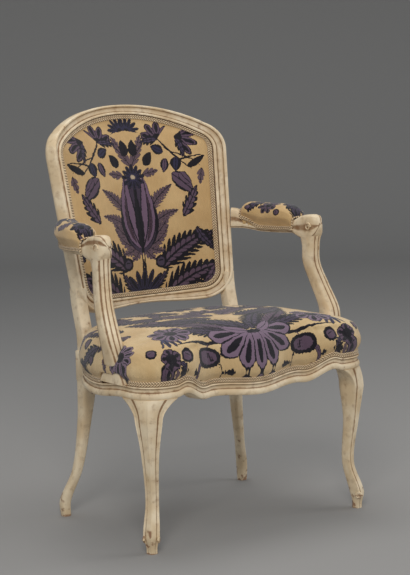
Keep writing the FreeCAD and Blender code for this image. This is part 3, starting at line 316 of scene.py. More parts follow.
# %% [markdown]
# Every material starts from the same blank shader. Swatches are written as a painter would
# read them, from 0 to 255. The studio floor rolls up into a backdrop, so that no line shows
# behind the chair: two planes would show a corner, and one plane whose far edge is extruded
# up a curve gives the same soft horizon as a paper roll.

# %% Blank material, floor and backdrop
def blank_material(name, **values):
    material = bpy.data.materials.new(name)
    material.use_nodes = True
    shader = material.node_tree.nodes["Principled BSDF"]
    for title, value in values.items():
        shader.inputs[title.replace("_", " ")].default_value = value
    return material, material.node_tree, shader


def colour(red, green, blue):
    """Linear colour from the 0 to 255 values of a swatch."""
    swatch = []
    for value in (red, green, blue):
        value = value / 255
        swatch.append(value / 12.92 if value <= 0.04045 else ((value + 0.055) / 1.055) ** 2.4)
    return (*swatch, 1)


FLOOR_SIZE, ROLL_STEP, BACKDROP_HEIGHT = 9, 0.24, 6
grey = blank_material(
    "studio_grey", Base_Color=(0.33, 0.318, 0.305, 1), Roughness=0.9, Specular_IOR_Level=0.15
)[0]
deselect()
bpy.ops.mesh.primitive_plane_add(size=FLOOR_SIZE, location=(0, 0, 0), enter_editmode=True)
floor = bpy.context.object
floor.name = "studio_floor"
floor.data.materials.append(grey)
bpy.ops.mesh.select_mode(type="EDGE")
bpy.ops.mesh.select_all(action="DESELECT")
edit = bmesh.from_edit_mesh(floor.data)
for edge in edit.edges:
    edge.select_set(all(vertex.co.y > FLOOR_SIZE * 0.44 for vertex in edge.verts))
bmesh.update_edit_mesh(floor.data)
for degrees in range(5, 95, 10):
    angle = math.radians(degrees)
    reach = Vector((0, math.cos(angle), math.sin(angle))) * ROLL_STEP
    bpy.ops.mesh.extrude_region_move(TRANSFORM_OT_translate={"value": reach})
bpy.ops.mesh.extrude_region_move(TRANSFORM_OT_translate={"value": UP * BACKDROP_HEIGHT})
bpy.ops.object.mode_set(mode="OBJECT")
bpy.ops.object.shade_smooth()
floor.rotation_euler.z = AZIMUTH
bpy.ops.object.transform_apply(location=True, rotation=True, scale=True)
print("floor", FLOOR_SIZE, "m wide")

# %% [markdown]
# The photograph has one broad light, high and to the left of the camera, a weaker one on
# the right and grey air round it all. Large area lamps give the same soft-edged shadows
# that a studio box gives, where a sun lamp would cut hard ones.

# %% Lamps
LAMP_AIM = Vector((0, 0, 0.45))


def lamp(name, place, width, power, tone=(1, 1, 1)):
    bpy.ops.object.light_add(type="AREA", location=place)
    made = bpy.context.object
    made.name = name
    made.data.shape = "DISK"
    made.data.size = width
    made.data.energy = power
    made.data.color = tone
    made.rotation_euler = (LAMP_AIM - Vector(place)).to_track_quat("-Z", "Y").to_euler()


lamp("key", (-2.1, -2.6, 2.5), 1.5, 62, (1.0, 0.985, 0.96))
lamp("fill", (2.6, -1.5, 1.4), 1.8, 20, (0.97, 0.985, 1.0))
lamp("overhead", (0.3, 0.5, 3.0), 1.6, 24)
world = bpy.data.worlds.new("studio_air")
bpy.context.scene.world = world
world.use_nodes = True
air = world.node_tree
lighting = air.nodes["Background"]
lighting.inputs["Color"].default_value = (0.9, 0.95, 1.0, 1)
lighting.inputs["Strength"].default_value = 0.38
seen = air.nodes.new("ShaderNodeBackground")
seen.inputs["Color"].default_value = (0.13, 0.126, 0.12, 1)
straight = air.nodes.new("ShaderNodeLightPath")
either = air.nodes.new("ShaderNodeMixShader")
air.links.new(straight.outputs["Is Camera Ray"], either.inputs[0])
air.links.new(lighting.outputs[0], either.inputs[1])
air.links.new(seen.outputs[0], either.inputs[2])
air.links.new(either.outputs[0], air.nodes["World Output"].inputs["Surface"])
print("lamps:", len(bpy.data.lights))

# %% [markdown]
# Materials share a few effects: wear, thread, a motif of the pattern. Each is a node group
# with named sockets, as a maker keeps one jig for many pieces. Nodes could be placed and
# linked one by one, but sums written that way can't be read. So a socket is wrapped as a
# wire, and every sign used on a wire adds the node that does that sum.

# %% Wires: sums written as sums
class Wire:
    """An output socket; each sum made with it adds one node to its tree."""

    def __init__(self, socket):
        self.socket = socket
        self.tree = socket.id_data

    def step(self, operation, *others):
        return reckoned(self.tree, operation, self, *others)

    def __rsub__(self, other):
        return reckoned(self.tree, "SUBTRACT", other, self)

    def __abs__(self):
        return self.step("ABSOLUTE")


SIGNS = {
    "add": "ADD", "sub": "SUBTRACT", "mul": "MULTIPLY", "truediv": "DIVIDE", "pow": "POWER",
    "lt": "LESS_THAN", "gt": "GREATER_THAN",
}
for sign, operation in SIGNS.items():
    setattr(Wire, f"__{sign}__", lambda self, other, name=operation: self.step(name, other))


def feed(socket, value):
    """Link a socket to a wire, or set its value."""
    if isinstance(value, Wire):
        value.tree.links.new(value.socket, socket)
    elif value is not None:
        socket.default_value = value


def reckoned(tree, operation, *values):
    """One step of arithmetic."""
    made = tree.nodes.new("ShaderNodeMath")
    made.operation = operation
    for socket, value in zip(made.inputs, values):
        feed(socket, value)
    return Wire(made.outputs[0])


def added(tree, kind, output=0, **values):
    """New node fed by the names of its sockets; an underscore stands for a space."""
    made = tree.nodes.new("ShaderNode" + kind)
    for title, value in values.items():
        feed(made.inputs[title.replace("_", " ")], value)
    return Wire(made.outputs[output])


# %% [markdown]
# The other nodes that come back again and again get a short name each: a soft step, a noise,
# a blend of two colours, and the group itself.

# %% Short names for common nodes
def blended(share, first, second):
    made = share.tree.nodes.new("ShaderNodeMix")
    made.data_type = "RGBA"
    for i, value in zip((0, 6, 7), (share, first, second)):
        feed(made.inputs[i], value)
    return Wire(made.outputs[2])


def ramp(value, low, high):
    """Value stretched so that low becomes 0 and high becomes 1, with soft ends."""
    made = added(value.tree, "MapRange", "Result", Value=value, From_Min=low, From_Max=high)
    made.socket.node.interpolation_type = "SMOOTHSTEP"
    return made


def cloud(place, scale, detail=2.0):
    return added(place.tree, "TexNoise", "Fac", Scale=scale, Detail=detail, Vector=place)


def scaled(place, size):
    return added(place.tree, "Mapping", "Vector", Scale=size, Vector=place)


def split(place):
    made = added(place.tree, "SeparateXYZ", Vector=place).socket.node
    return [Wire(output) for output in made.outputs]


def object_place(tree):
    return added(tree, "TexCoord", "Object")


def group(name, inputs, outputs):
    """Empty node group with named sockets; inputs are (name, kind, value)."""
    tree = bpy.data.node_groups.new(name, "ShaderNodeTree")
    for title, kind, value in inputs:
        socket = tree.interface.new_socket(title, in_out="INPUT", socket_type="NodeSocket" + kind)
        if value is not None:
            socket.default_value = value
    for title, kind in outputs:
        tree.interface.new_socket(title, in_out="OUTPUT", socket_type="NodeSocket" + kind)
    given = {socket.name: Wire(socket) for socket in tree.nodes.new("NodeGroupInput").outputs}
    return tree, given, tree.nodes.new("NodeGroupOutput").inputs


def use(tree, shared, **values):
    """Place a shared group and give back its outputs by name."""
    made = tree.nodes.new("ShaderNodeGroup")
    made.node_tree = shared
    for title, value in values.items():
        feed(made.inputs[title.replace("_", " ")], value)
    return {socket.name: Wire(socket) for socket in made.outputs}


def bumped(shader, strength, distance, height):
    relief = added(height.tree, "Bump", Strength=strength, Distance=distance, Height=height)
    feed(shader.inputs["Normal"], relief)


# %% [markdown]
# Paint on old beech is never one colour. It is creamy on broad faces, brown in the grooves
# where dust and wax stay, and worn through on the edges that hands and shoes touch.
# A picture could be wrapped round each piece, but the sections already mark their grooves,
# so one attribute tells a shared group where the dirt lies.

# %% Ageing, shared by all the wood
ageing, given, made = group(
    "ageing",
    [
        ("Place", "Vector", None),
        ("Base", "Color", colour(219, 194, 156)),
        ("Pale", "Color", colour(238, 219, 187)),
        ("Grime", "Color", colour(132, 92, 54)),
        ("Bare", "Color", colour(128, 74, 44)),
        ("Hollow", "Float", 0.0),
        ("Edge", "Float", 0.5),
        ("Rubbed", "Float", 0.0),
    ],
    [("Colour", "Color"), ("Roughness", "Float"), ("Height", "Float")],
)
patch = cloud(given["Place"], 22.0, 6.0)
grain = cloud(scaled(given["Place"], (1, 1, 0.15)), 150.0, 6.0)
fleck = cloud(given["Place"], 330.0, 5.0)
smear = cloud(given["Place"], 70.0, 6.0)
paint = blended(ramp(patch, 0.36, 0.66), given["Base"], given["Pale"])
paint = blended(ramp(smear, 0.5, 0.72) * 0.28, paint, given["Grime"])
broken = fleck * 0.5 + (smear * 0.8 - 0.65)
deep = ramp(given["Hollow"] + broken, 0.2, 0.95)
inner = ramp(given["Edge"], 0.49, 0.44) * 0.5
paint = blended((deep * 0.9).step("MAXIMUM", inner), paint, given["Grime"])
outer = ramp(given["Edge"], 0.515, 0.57)
chips = ramp(smear + (outer * 0.07 + given["Rubbed"] * 0.2), 0.69, 0.78)
feed(made["Colour"], blended(chips * 0.7, paint, given["Bare"]))
feed(made["Roughness"], smear * 0.3 + (deep * 0.15 + 0.33))
feed(made["Height"], grain * 0.7 + fleck * 0.4 - chips * 0.5)
print("ageing:", len(ageing.nodes), "nodes")

# %% [markdown]
# Two woods use that group: the painted show wood, and the bare beech of hidden parts.
# Paint wears off low on the feet, so the rubbing grows as a point nears the floor.

# %% Painted wood and plain wood
FEET_RUBBED_TO = 0.085


def wood(name, strength, rubbing, **tones):
    material, tree, shader = blank_material(name, Specular_IOR_Level=0.42)
    place = object_place(tree)
    hollow = added(tree, "Attribute", "Fac")
    hollow.socket.node.attribute_name = "hollow"
    edge = added(tree, "NewGeometry", "Pointiness")
    rubbed = ramp(split(place)[2], FEET_RUBBED_TO, 0.0) * rubbing
    aged = use(tree, ageing, Place=place, Hollow=hollow, Edge=edge, Rubbed=rubbed, **tones)
    feed(shader.inputs["Base Color"], aged["Colour"])
    feed(shader.inputs["Roughness"], aged["Roughness"])
    bumped(shader, strength, 0.0008, aged["Height"])
    return material


painted = wood("painted_wood", 0.35, 1.0)
beech = wood(
    "bare_beech", 0.5, 0.2, Base=colour(150, 108, 66), Pale=colour(176, 134, 88),
    Grime=colour(70, 46, 28), Bare=colour(120, 80, 48),
)
print("materials:", painted.name, beech.name)

# %% [markdown]
# The back frame is one moulded ring, hollow like a shallow barrel and leaned back.
# Bending a straight moulding with a modifier would squeeze its beads at the shoulders, so
# each section is placed on the barrel by its own distance out and its own depth.

# %% The hollow, leaning face of the back
BACK_RADIUS, LEAN = 410, math.radians(12.2)
BACK_FOOT_Y, BACK_FOOT_Z = 152, 460
SIGHT_BOTTOM, SIGHT_TOP, CREST_RADIUS = 9, 428, 317
CORNER_RADIUS, SHOULDER_RADIUS = 40, 45
CREST_MIDDLE = SIGHT_TOP - CREST_RADIUS
BOTTOM_JOINT = 150
MOULDING, CREST_WIDTH, BOTTOM_WIDTH = 26, 22, 17
SIDE_LOW, SIDE_HIGH = Vector((187, 45, 0)), Vector((205, 285, 0))
side_run = (SIDE_HIGH - SIDE_LOW).normalized()
side_out = Vector((side_run.y, -side_run.x, 0))


def on_back(x, height, proud=0.0):
    turn = math.asin(x / BACK_RADIUS)
    reach = BACK_RADIUS - proud
    flat_y = reach * math.cos(turn) - BACK_RADIUS
    return Vector((
        reach * math.sin(turn),
        flat_y * math.cos(LEAN) + height * math.sin(LEAN) + BACK_FOOT_Y,
        height * math.cos(LEAN) - flat_y * math.sin(LEAN) + BACK_FOOT_Z,
    ))


def beside_sight(radius, height):
    return SIDE_LOW.x - (radius + (height - SIDE_LOW.y) * side_out.y) / side_out.x


def shoulder_middle():
    """Where the shoulder's arc touches both the side line and the crest."""
    low, high = SIDE_LOW.y, SIGHT_TOP
    for _ in range(50):
        height = (low + high) / 2
        reach = math.hypot(beside_sight(SHOULDER_RADIUS, height), height - CREST_MIDDLE)
        inside = reach < CREST_RADIUS - SHOULDER_RADIUS
        low, high = (height, high) if inside else (low, height)
    return Vector((beside_sight(SHOULDER_RADIUS, height), height, 0))


corner_height = SIGHT_BOTTOM + CORNER_RADIUS
corner = Vector((beside_sight(CORNER_RADIUS, corner_height), corner_height, 0))
shoulder = shoulder_middle()
side_angle = math.atan2(side_out.y, side_out.x)
crest_angle = math.atan2(shoulder.y - CREST_MIDDLE, shoulder.x)
crest_joint = CREST_RADIUS * math.cos(crest_angle)
print("shoulder at", [round(part) for part in shoulder])


# %% [markdown]
# The outline of the opening is walked in pairs of points, one on the sight line and one on
# the outer edge. A plain offset would keep one width, but the crest is slimmer in its middle.

# %% Pairs of points round the back frame
def crest_pair(x):
    width = ease(CREST_WIDTH, MOULDING, abs(x) / crest_joint)
    return [
        Vector((x, CREST_MIDDLE + math.sqrt(radius**2 - x**2), 0))
        for radius in (CREST_RADIUS, CREST_RADIUS + width)
    ]


def bottom_pair(x):
    width = ease(BOTTOM_WIDTH, MOULDING, abs(x) / BOTTOM_JOINT)
    return [Vector((x, SIGHT_BOTTOM, 0)), Vector((x, SIGHT_BOTTOM - width, 0))]


def arc_pair(middle, radius, angle, outer_angle):
    return [swung(middle, radius, angle), swung(middle, radius + MOULDING, outer_angle)]


def side_pairs():
    """Inner and outer edges of the right stile, from the bottom joint up to the crest."""
    down = -math.pi / 2
    pairs = [bottom_pair(BOTTOM_JOINT)]
    for share in steps(0.1, 1, 9):
        angle = down + (side_angle - down) * share
        pairs.append(arc_pair(corner, CORNER_RADIUS, angle, angle))
    foot, head = pairs[-1], arc_pair(shoulder, SHOULDER_RADIUS, side_angle, side_angle)
    for share in steps(0.1, 0.9, 8):
        pairs.append([low + (high - low) * share for low, high in zip(foot, head)])
    last = crest_pair(crest_joint)
    last_angle = math.atan2(last[1].y - shoulder.y, last[1].x - shoulder.x)
    for share in steps(0, 0.9, 9):
        inner = side_angle + (crest_angle - side_angle) * share
        outer = side_angle + (last_angle - side_angle) * share
        pairs.append(arc_pair(shoulder, SHOULDER_RADIUS, inner, outer))
    return pairs + [last]


# Each point: out from the sight line, proud of the face, and how much dirt it holds.
FRAME_PROFILE = [
    (-14, -11, 1), (0, -11, 1), (0, -2, 0.9), (0.8, -0.5, 0.2), (2.6, 0.3, 0), (4.6, 0, 0),
    (6.2, -1.1, 0.1), (7, -2.8, 0.9), (7.8, -3.8, 1), (9, -4.3, 0.5), (11.5, -5, 0.1),
    (14.5, -5, 0), (17, -4.3, 0.1), (18.6, -3, 0.8), (19.2, -1.6, 0.9), (20.2, 0, 0.1),
    (22, 1, 0), (24, 0.7, 0), (25.4, -0.8, 0), (26, -3, 0), (26, -10, 0), (26, -18, 0),
    (24.8, -22, 0), (22, -26, 0), (18, -28, 0), (8, -28, 0.1), (0, -28, 0.2), (0, -24, 1),
    (-14, -24, 1),
]


def frame_section(edges):
    inner, outer = edges
    width = (outer - inner).length
    direction = (outer - inner).normalized()
    points = []
    for out, proud, _ in FRAME_PROFILE:
        place = inner + direction * (out * width / MOULDING if out > 0 else out)
        points.append(on_back(place.x, place.y, proud))
    return points


# %% [markdown]
# The crest and the bottom rail run between the stiles. They are pulled straight through to
# their joints and not over them, because on a real frame each is its own stick.

# %% Crest and bottom rail
frame_dirt = [dirty for _, _, dirty in FRAME_PROFILE]


def moulded(name, pairs):
    return pulled(name, [frame_section(edges) for edges in pairs], frame_dirt)


crest = moulded("crest", [crest_pair(x) for x in steps(-crest_joint, crest_joint, 40)])
dress(crest, painted, "painted_wood", "crest_rail")
bottom_places = steps(-BOTTOM_JOINT, BOTTOM_JOINT, 28)
bottom = moulded("back_bottom", [bottom_pair(x) for x in bottom_places])
dress(bottom, painted, "painted_wood", "back_bottom_rail")
print("crest", round(2 * crest_joint), "mm wide")

# %% [markdown]
# A rear post is one stick from floor to shoulder: a tapering leg, a square block where the
# seat rails meet, a slim stem and the moulded stile. Each length has its own section, so
# the four are pulled on their own and joined, as the carver works up to each break.

# %% Rear posts
# Each row: height, sideways, rearward, width and how round the corners are.
REAR_MARKS = [
    (0, 249, 133, 19), (36, 249, 133, 23), (105, 228, 113, 21), (215, 212, 103, 27),
    (309, 204, 98, 35),
]
REAR_CORNERS = [(0, 0.3), (36, 0.34), (215, 0.3), (309, 0.1)]
REAR_BLOCK = [(304.5, 34), (306, 36), (340, 36), (370.5, 36), (372, 34)]
BLOCK_X, BLOCK_Y = 204, 98
STEM_FOOT, STEM_SINK = 369, -14


def squared(middle, side, bevel):
    """Square with rounded corners, in sixteen points."""
    half, cut = side / 2, side * bevel
    ring = []
    for quarter in range(4):
        start = math.pi / 2 * quarter
        hub = Vector((half - cut, half - cut, 0))
        hub.rotate(Matrix.Rotation(start, 3, "Z"))
        for turn in (0, 30, 60, 90):
            ring.append(middle + swung(hub, cut, start + math.radians(turn)))
    return ring


def rear_leg_section(height):
    x, y, width = readings(REAR_MARKS, height)
    return squared(Vector((x, y, height)), width, through(REAR_CORNERS, height))


leg_heights = steps(0, 14, 2) + steps(20, 60, 5) + steps(72, 309, 18)
rear_leg = pulled("rear_leg", [rear_leg_section(height) for height in leg_heights])
block = [squared(Vector((BLOCK_X, BLOCK_Y, z)), side, 0.04) for z, side in REAR_BLOCK]
rear_block = pulled("rear_block", block)
stile_pairs = side_pairs()
foot, head = stile_pairs[9]
upper = on_back((foot.x + head.x) / 2, foot.y, STEM_SINK)
lower = Vector((BLOCK_X, BLOCK_Y, STEM_FOOT))
stem_sections = []
for share in steps(0, 1, 14):
    lead = lower.lerp(upper, share)
    lead.y = ease(lower.y, upper.y, share)
    stem_sections.append(squared(lead, ease(31, 28.5, share * 3), 0.14))
stem = pulled("stem", stem_sections)
post = joined("right_post", [rear_leg, rear_block, stem, moulded("stile", stile_pairs)])
pair(post, painted, "painted_wood", "post", "back_post")

# %% [markdown]
# The seat rails run in one serpentine line round the chair, with a rolled lower edge, a cove
# and a bead under the cloth. A profile swept along a curve object would twist at the knees,
# so each station keeps its own level outward direction, as a templet does on the bench.

# %% Plan and lower edge of the seat frame
SEAT_TOP, BAND, REBATE, RAIL = 365, 27, 7, 30
KNEE_MIDDLE, KNEE_RADIUS, KNEE_LOW = Vector((240, -205, 0)), 65, 321
SIDE_X, SIDE_START, SIDE_END = 305, -185, 58
FRONT_PLAN = [(0, -263), (115, -244), (210, -270)]
FRONT_LOW = [(0, 298), (112, 305), (134, 303), (200, 327), (225, 321)]
FRONT_END = 225
SIDE_LOWS = [(-185, 321), (-75, 311), (80, 319)]
REAR_LOW = 319


def front_line(x):
    return between(FRONT_PLAN, abs(x))


def front_low(x):
    return between(FRONT_LOW, abs(x))


def side_line(y):
    return SIDE_X - 83 * max((y - SIDE_START) / 265, 0.0) ** 3.2


def side_low(y):
    return between(SIDE_LOWS, y)


# A station is a point of the plan, the way outward there, and the height of the lower edge.
def front_station(x):
    slope = front_line(x + 0.5) - front_line(x - 0.5)
    return Vector((x, front_line(x), 0)), Vector((slope, -1, 0)).normalized(), front_low(x)


def side_station(y):
    slope = side_line(y + 0.5) - side_line(y - 0.5)
    return Vector((side_line(y), y, 0)), Vector((1, -slope, 0)).normalized(), side_low(y)


def knee_station(degrees):
    outward = swung(Vector(), 1, math.radians(degrees))
    return KNEE_MIDDLE + outward * KNEE_RADIUS, outward, KNEE_LOW


def rear_station(x):
    return Vector((x, 110 + 18 * (1 - (x / 186) ** 2), 0)), REAR, REAR_LOW


CORNER_STATION = (Vector((218, 92, 0)), Vector((0.9, 0.44, 0)).normalized(), REAR_LOW)


def flipped(stations):
    """The same stations on the other side, walked back."""
    return [(Vector((-p.x, p.y, 0)), Vector((-n.x, n.y, 0)), low) for p, n, low in stations[::-1]]


BAND_PROFILE = [
    (-30, 0, 0.2), (-4, 0, 0.2), (-1.4, 1, 0), (0, 3.5, 0), (0.3, 7, 0), (-0.5, 10.6, 0),
    (-2.4, 13, 0.3), (-4, 14.2, 1), (-4.5, 16, 0.6), (-4.6, 18.5, 0.1), (-4, 21, 0.2),
    (-2.6, 22.6, 0.9), (-1.4, 23.3, 0.6), (-0.8, 24.6, 0), (-1.2, 26.2, 0.2), (-2.4, 27, 0.7),
    (-7, 27, 1),
]
rail_dirt = [dirty for _, _, dirty in BAND_PROFILE] + [0, 0]


def rail_section(station):
    point, outward, low = station
    ring = [point + outward * out + UP * (low + up) for out, up, _ in BAND_PROFILE]
    return ring + [point + outward * out + UP * SEAT_TOP for out in (-REBATE, -RAIL)]


def rail(name, stations):
    return pulled(name, [rail_section(station) for station in stations], rail_dirt)


# %% [markdown]
# The front rail is one stick from knee to knee. A side rail ends square on the rear block,
# so its last station stands by itself and its outward step is a little longer.

# %% Front and side rails
LAST_SIDE_STATION = (Vector((222, 80, 0)), Vector((1.2, 0, 0)), REAR_LOW)
front_stations = [front_station(x) for x in steps(-FRONT_END, FRONT_END, 72)]
front_rail = rail("front_rail", front_stations)
dress(front_rail, painted, "painted_wood", "front_seat_rail")
side_stations = [side_station(y) for y in steps(SIDE_START, SIDE_END, 32)]
side_rail = rail("right_side_rail", side_stations + [LAST_SIDE_STATION])
pair(side_rail, painted, "painted_wood", "side_rail", "side_seat_rail")

# %% [markdown]
# A cabriole leg swells at the knee, thins at the ankle and turns out at a small scroll.
# Sculpting it would lose the crisp ridge that runs down its front, so the section is a
# shield, rounded low down, which opens above the knee into the two rails.

# %% Front legs
DIAGONAL, SIDEWAYS = Vector((1, -1, 0)).normalized(), Vector((1, 1, 0)).normalized()
LEG_AXIS = Vector((273, -236, 0))
KNEE_START, KNEE_RISE, LEG_PER = 275, 46, 6
# Each row: height, width of the shield and how far it stands out along the diagonal.
LEG_MARKS = [(0, 23), (13.3, 23), (38, 34), (105, 28), (205, 37), (KNEE_START, 56)]
LEG_REACH = [(0, 11), (38, 11), (105, -8), (205, 0), (KNEE_START, 2)]
LEG_BITE = [(0, 0.2), (60, 0.9), (205, 1.1), (KNEE_START, 1.6), (318, 0.6), (KNEE_LOW, 0)]
LEG_RIDGE = [(0, 0.6), (205, 1.2), (KNEE_START, 2.2), (318, 0.6), (KNEE_LOW, 0)]
LEG_POINTS = 9 * LEG_PER
LEG_GROOVES = (8, 9, LEG_POINTS - 9, LEG_POINTS - 8)
leg_dirt = [0.0] * LEG_POINTS
for column in (2, 3, LEG_POINTS - 3, LEG_POINTS - 2):
    leg_dirt[column] = 0.25
for column in LEG_GROOVES:
    leg_dirt[column] = 0.95


def leg_ring(height):
    width, out = through(LEG_MARKS, height), through(LEG_REACH, height)
    depth = width * 0.86
    half = [
        (0.34 * depth, 0.28 * width), (0.2 * depth, 0.5 * width - 3),
        (0.2 * depth - 3, 0.5 * width), (-0.5 * depth, 0.18 * width),
    ]
    middle = LEG_AXIS + DIAGONAL * out
    side = [middle + DIAGONAL * u + SIDEWAYS * v for u, v in half]
    front = [middle + DIAGONAL * u - SIDEWAYS * v for u, v in half]
    return [middle + DIAGONAL * (0.5 * depth)] + side + front[::-1]


def inner_corner(out, z):
    """Back of the leg head between the rails, as four points."""
    return [
        Vector((SIDE_X + out, SIDE_START, z)), Vector((SIDE_X - RAIL, SIDE_START, z)),
        Vector((FRONT_END, FRONT_PLAN[2][1] + RAIL, z)), Vector((FRONT_END, FRONT_PLAN[2][1] - out, z)),
    ]


head_ring = [knee_station(degrees)[0] for degrees in (-45, -20, 0)] + inner_corner(0, 0)
head_ring += [knee_station(degrees)[0] for degrees in (-90, -70)]


def leg_section(height):
    """Slim shield below the knee; above it the same points spread out to the rails."""
    share = clamp((height - KNEE_START) / KNEE_RISE) ** 2
    ring = [slim * (1 - share) + full * share for slim, full in zip(leg_ring(height), head_ring)]
    hard = []
    for near, far in zip(ring, ring[1:] + ring[:1]):
        hard += [near.lerp(far, k / LEG_PER) for k in range(LEG_PER)]
    ring = [soft.lerp(sharp, share**3) for soft, sharp in zip(rounded(ring, LEG_PER), hard)]
    ring = beaded(ring, LEG_GROOVES, through(LEG_BITE, height))
    ring[0] = ring[0] + DIAGONAL * through(LEG_RIDGE, height)
    return [place + UP * height for place in ring]


def knee_head(inset, levels):
    """Top of the leg between the rails, with the same moulded band as they have."""
    plan = [knee_station(degrees) for degrees in steps(-90, 0, 18)]
    sections = []
    for out, z in levels:
        ring = [point + outward * (out - inset) + UP * z for point, outward, _ in plan]
        sections.append(ring + inner_corner(out - inset, z))
    return sections


heights = steps(0, 48, 12) + steps(54, 270, 30) + steps(276, KNEE_LOW, 14)
shaft = pulled("right_leg", [leg_section(height) for height in heights], leg_dirt)
knee_band = BAND_PROFILE[2:-1]
band_levels = [(out, KNEE_LOW + up) for out, up, _ in knee_band]
knee = pulled("knee", knee_head(0, [(-3, KNEE_LOW - 0.5)] + band_levels + [(-7, 348)]))
for vertex in knee.data.vertices:
    level = vertex.co.z / MM - KNEE_LOW
    knee.data.attributes["hollow"].data[vertex.index].value = max(
        dirty * max(0, 1 - abs(level - up) / 1.2) for _, up, dirty in knee_band
    )
neck = pulled("neck", knee_head(REBATE, [(0, 346), (0, SEAT_TOP)]))
print("leg:", len(heights), "sections")

# %% [markdown]
# Toe and knuckle end in a little volute. It is pulled like every other piece, an eight-sided
# ring wound inwards while it shrinks, so its groove holds dirt by the same attribute.

# %% Carved scrolls
SCROLL_TURNS, SCROLL_CLOSING, SCROLL_THINNING = 1.6, 0.78, 0.45
SCROLL_DIRT = [0.0, 0, 0, 0.2, 0.9, 0.9, 0.2, 0]


def scroll(name, hub, along, radius, thick):
    """Volute that stands on a face, wound in the plane of the way along and up."""
    rise = along.cross(UP).normalized()
    sections = []
    for step in steps(0, 1, 40):
        angle = step * SCROLL_TURNS * 2 * math.pi
        reach = radius * (1 - SCROLL_CLOSING * step)
        way = along * math.cos(angle) + UP * math.sin(angle)
        middle = hub + way * reach
        size = thick * (1 - SCROLL_THINNING * step)
        sections.append([
            middle + way * (size * math.cos(turn)) + rise * (size * math.sin(turn))
            for turn in steps(0, math.pi * 1.75, 7)
        ])
    return pulled(name, sections, SCROLL_DIRT)


TOE = LEG_AXIS + DIAGONAL * 15 + UP * 30
foot_scrolls = [
    scroll("foot_scroll", TOE + SIDEWAYS * (side * 15.2), DIAGONAL, 7.5, 2.6) for side in (1, -1)
]
leg = joined("right_leg", [shaft, knee, neck] + foot_scrolls)
pair(leg, painted, "painted_wood", "leg", "front_leg")

# %% [markdown]
# The arm flows out of the stile, runs forward under its pad and ends in a rounded knuckle,
# which turns down into a support that swings back and then forward to the rail. Two crisp
# beads follow it all the way. They come from moving a few columns of points in and out.

# %% Arms
ARM_LINE = [(-122, 286), (-92, 286), (-40, 285), (0, 281), (56, 267), (112, 232), (136, 210)]
# Each row: how far back, height of the underside, height of the section and its width.
ARM_MARKS = [
    (-122, 606, 38, 30), (-117, 600, 46, 32), (-100, 593, 54, 34), (-70, 593, 50, 34),
    (-42, 602, 30, 36), (0, 601, 28, 38), (56, 601, 28, 35), (92, 607, 34, 31),
    (112, 608, 44, 30), (136, 608, 44, 30),
]
ARM_GROOVES = (14, 15, 19, 20, 37, 38, 32, 33)
KNUCKLE_START, KNUCKLE_LENGTH, KNUCKLE_TIP = -106, 15.7, 0.15


def arm_path(y):
    return through(ARM_LINE, y)


def arm_size(y):
    return readings(ARM_MARKS, y)


def arm_frame(y):
    slope = arm_path(y + 0.5) - arm_path(y - 0.5)
    return Vector((arm_path(y), y, 0)), Vector((1, -slope, 0)).normalized()


def across_arm(y, points):
    """Points given as (out, up) from the underside of the arm, set square across it."""
    middle, across = arm_frame(y)
    low = arm_size(y)[0]
    return [middle + across * out + UP * (low + up) for out, up in points]


def arm_section(y):
    _, height, width = arm_size(y)
    half = width / 2
    corners = [
        (7 - half, 0), (half - 7, 0), (half, 7), (half - 1, height - 9), (half - 8, height),
        (8 - half, height), (1 - half, height - 9), (-half, 7),
    ]
    section = beaded(rounded(across_arm(y, corners), 5), ARM_GROOVES, 1.2)
    if y >= KNUCKLE_START:
        return section
    share = math.sqrt(max(0.02, 1 - ((KNUCKLE_START - y) / KNUCKLE_LENGTH) ** 2))
    return grown(section, KNUCKLE_TIP + (1 - KNUCKLE_TIP) * share)


def grooved(grooves, dirt):
    return [dirt if i in grooves else 0.0 for i in range(40)]


arm_places = [-121.6, -121.3, -120.5, -119, -117, -114.5, -111.5, -108]
arm_places += steps(-105, 112, 42) + [116, 121]
arm = pulled("right_arm", [arm_section(y) for y in arm_places], grooved(ARM_GROOVES, 0.85))
pair(arm, painted, "painted_wood", "arm_wood", "arm")

# %% [markdown]
# The support leans forward from the rail to the knuckle and spreads at its foot. It could
# share the arm's sections, but its ridge faces forward, so it has its own ring of ten corners.

# %% Arm supports
# Each row: height, sideways, rearward, width and depth.
SUPPORT_MARKS = [
    (346, 290.5, -147, 30, 92), (356, 290, -147, 30, 81), (365, 290, -147, 30, 70),
    (378, 291, -146.5, 30, 58), (402, 294, -144, 32, 48), (440, 298, -137, 35, 41),
    (496, 292, -110, 33, 37), (539, 285, -94, 32, 35), (581, 285, -92, 32, 36),
    (600, 286, -90, 33, 45),
]
SUPPORT_GROOVES = (2, 3, 37, 38, 9, 10, 30, 31)
SUPPORT_FOOT = SUPPORT_MARKS[0][0]


def support_section(height):
    x, y, wide, deep = readings(SUPPORT_MARKS, height)
    half, reach = wide / 2, deep / 2
    corners = [
        (half - 6, -reach), (half, 8 - reach), (half, reach - 8), (half - 6, reach),
        (6 - half, reach), (-half, reach - 8), (-half, 8 - reach), (6 - half, -reach),
        (-3, -reach - 1.5), (3, -reach - 1.5),
    ]
    ring = rounded([Vector((x + out, y + back, height)) for out, back in corners])
    return beaded(ring, SUPPORT_GROOVES, 1.3)


support_heights = steps(SUPPORT_FOOT, 410, 16) + steps(415, 600, 38)
support_rings = [support_section(z) for z in support_heights]
shaft = pulled("right_support", support_rings, grooved(SUPPORT_GROOVES, 0.9))
KNUCKLE_EYE = Vector((arm_path(-100), -100, 621))
knuckle_scrolls = [
    scroll("knuckle_scroll", KNUCKLE_EYE + Vector((side * 16.6, 0, 0)), FRONT, 9, 2.2)
    for side in (1, -1)
]
support = joined("right_support", [shaft] + knuckle_scrolls)
pair(support, painted, "painted_wood", "support", "arm_support")

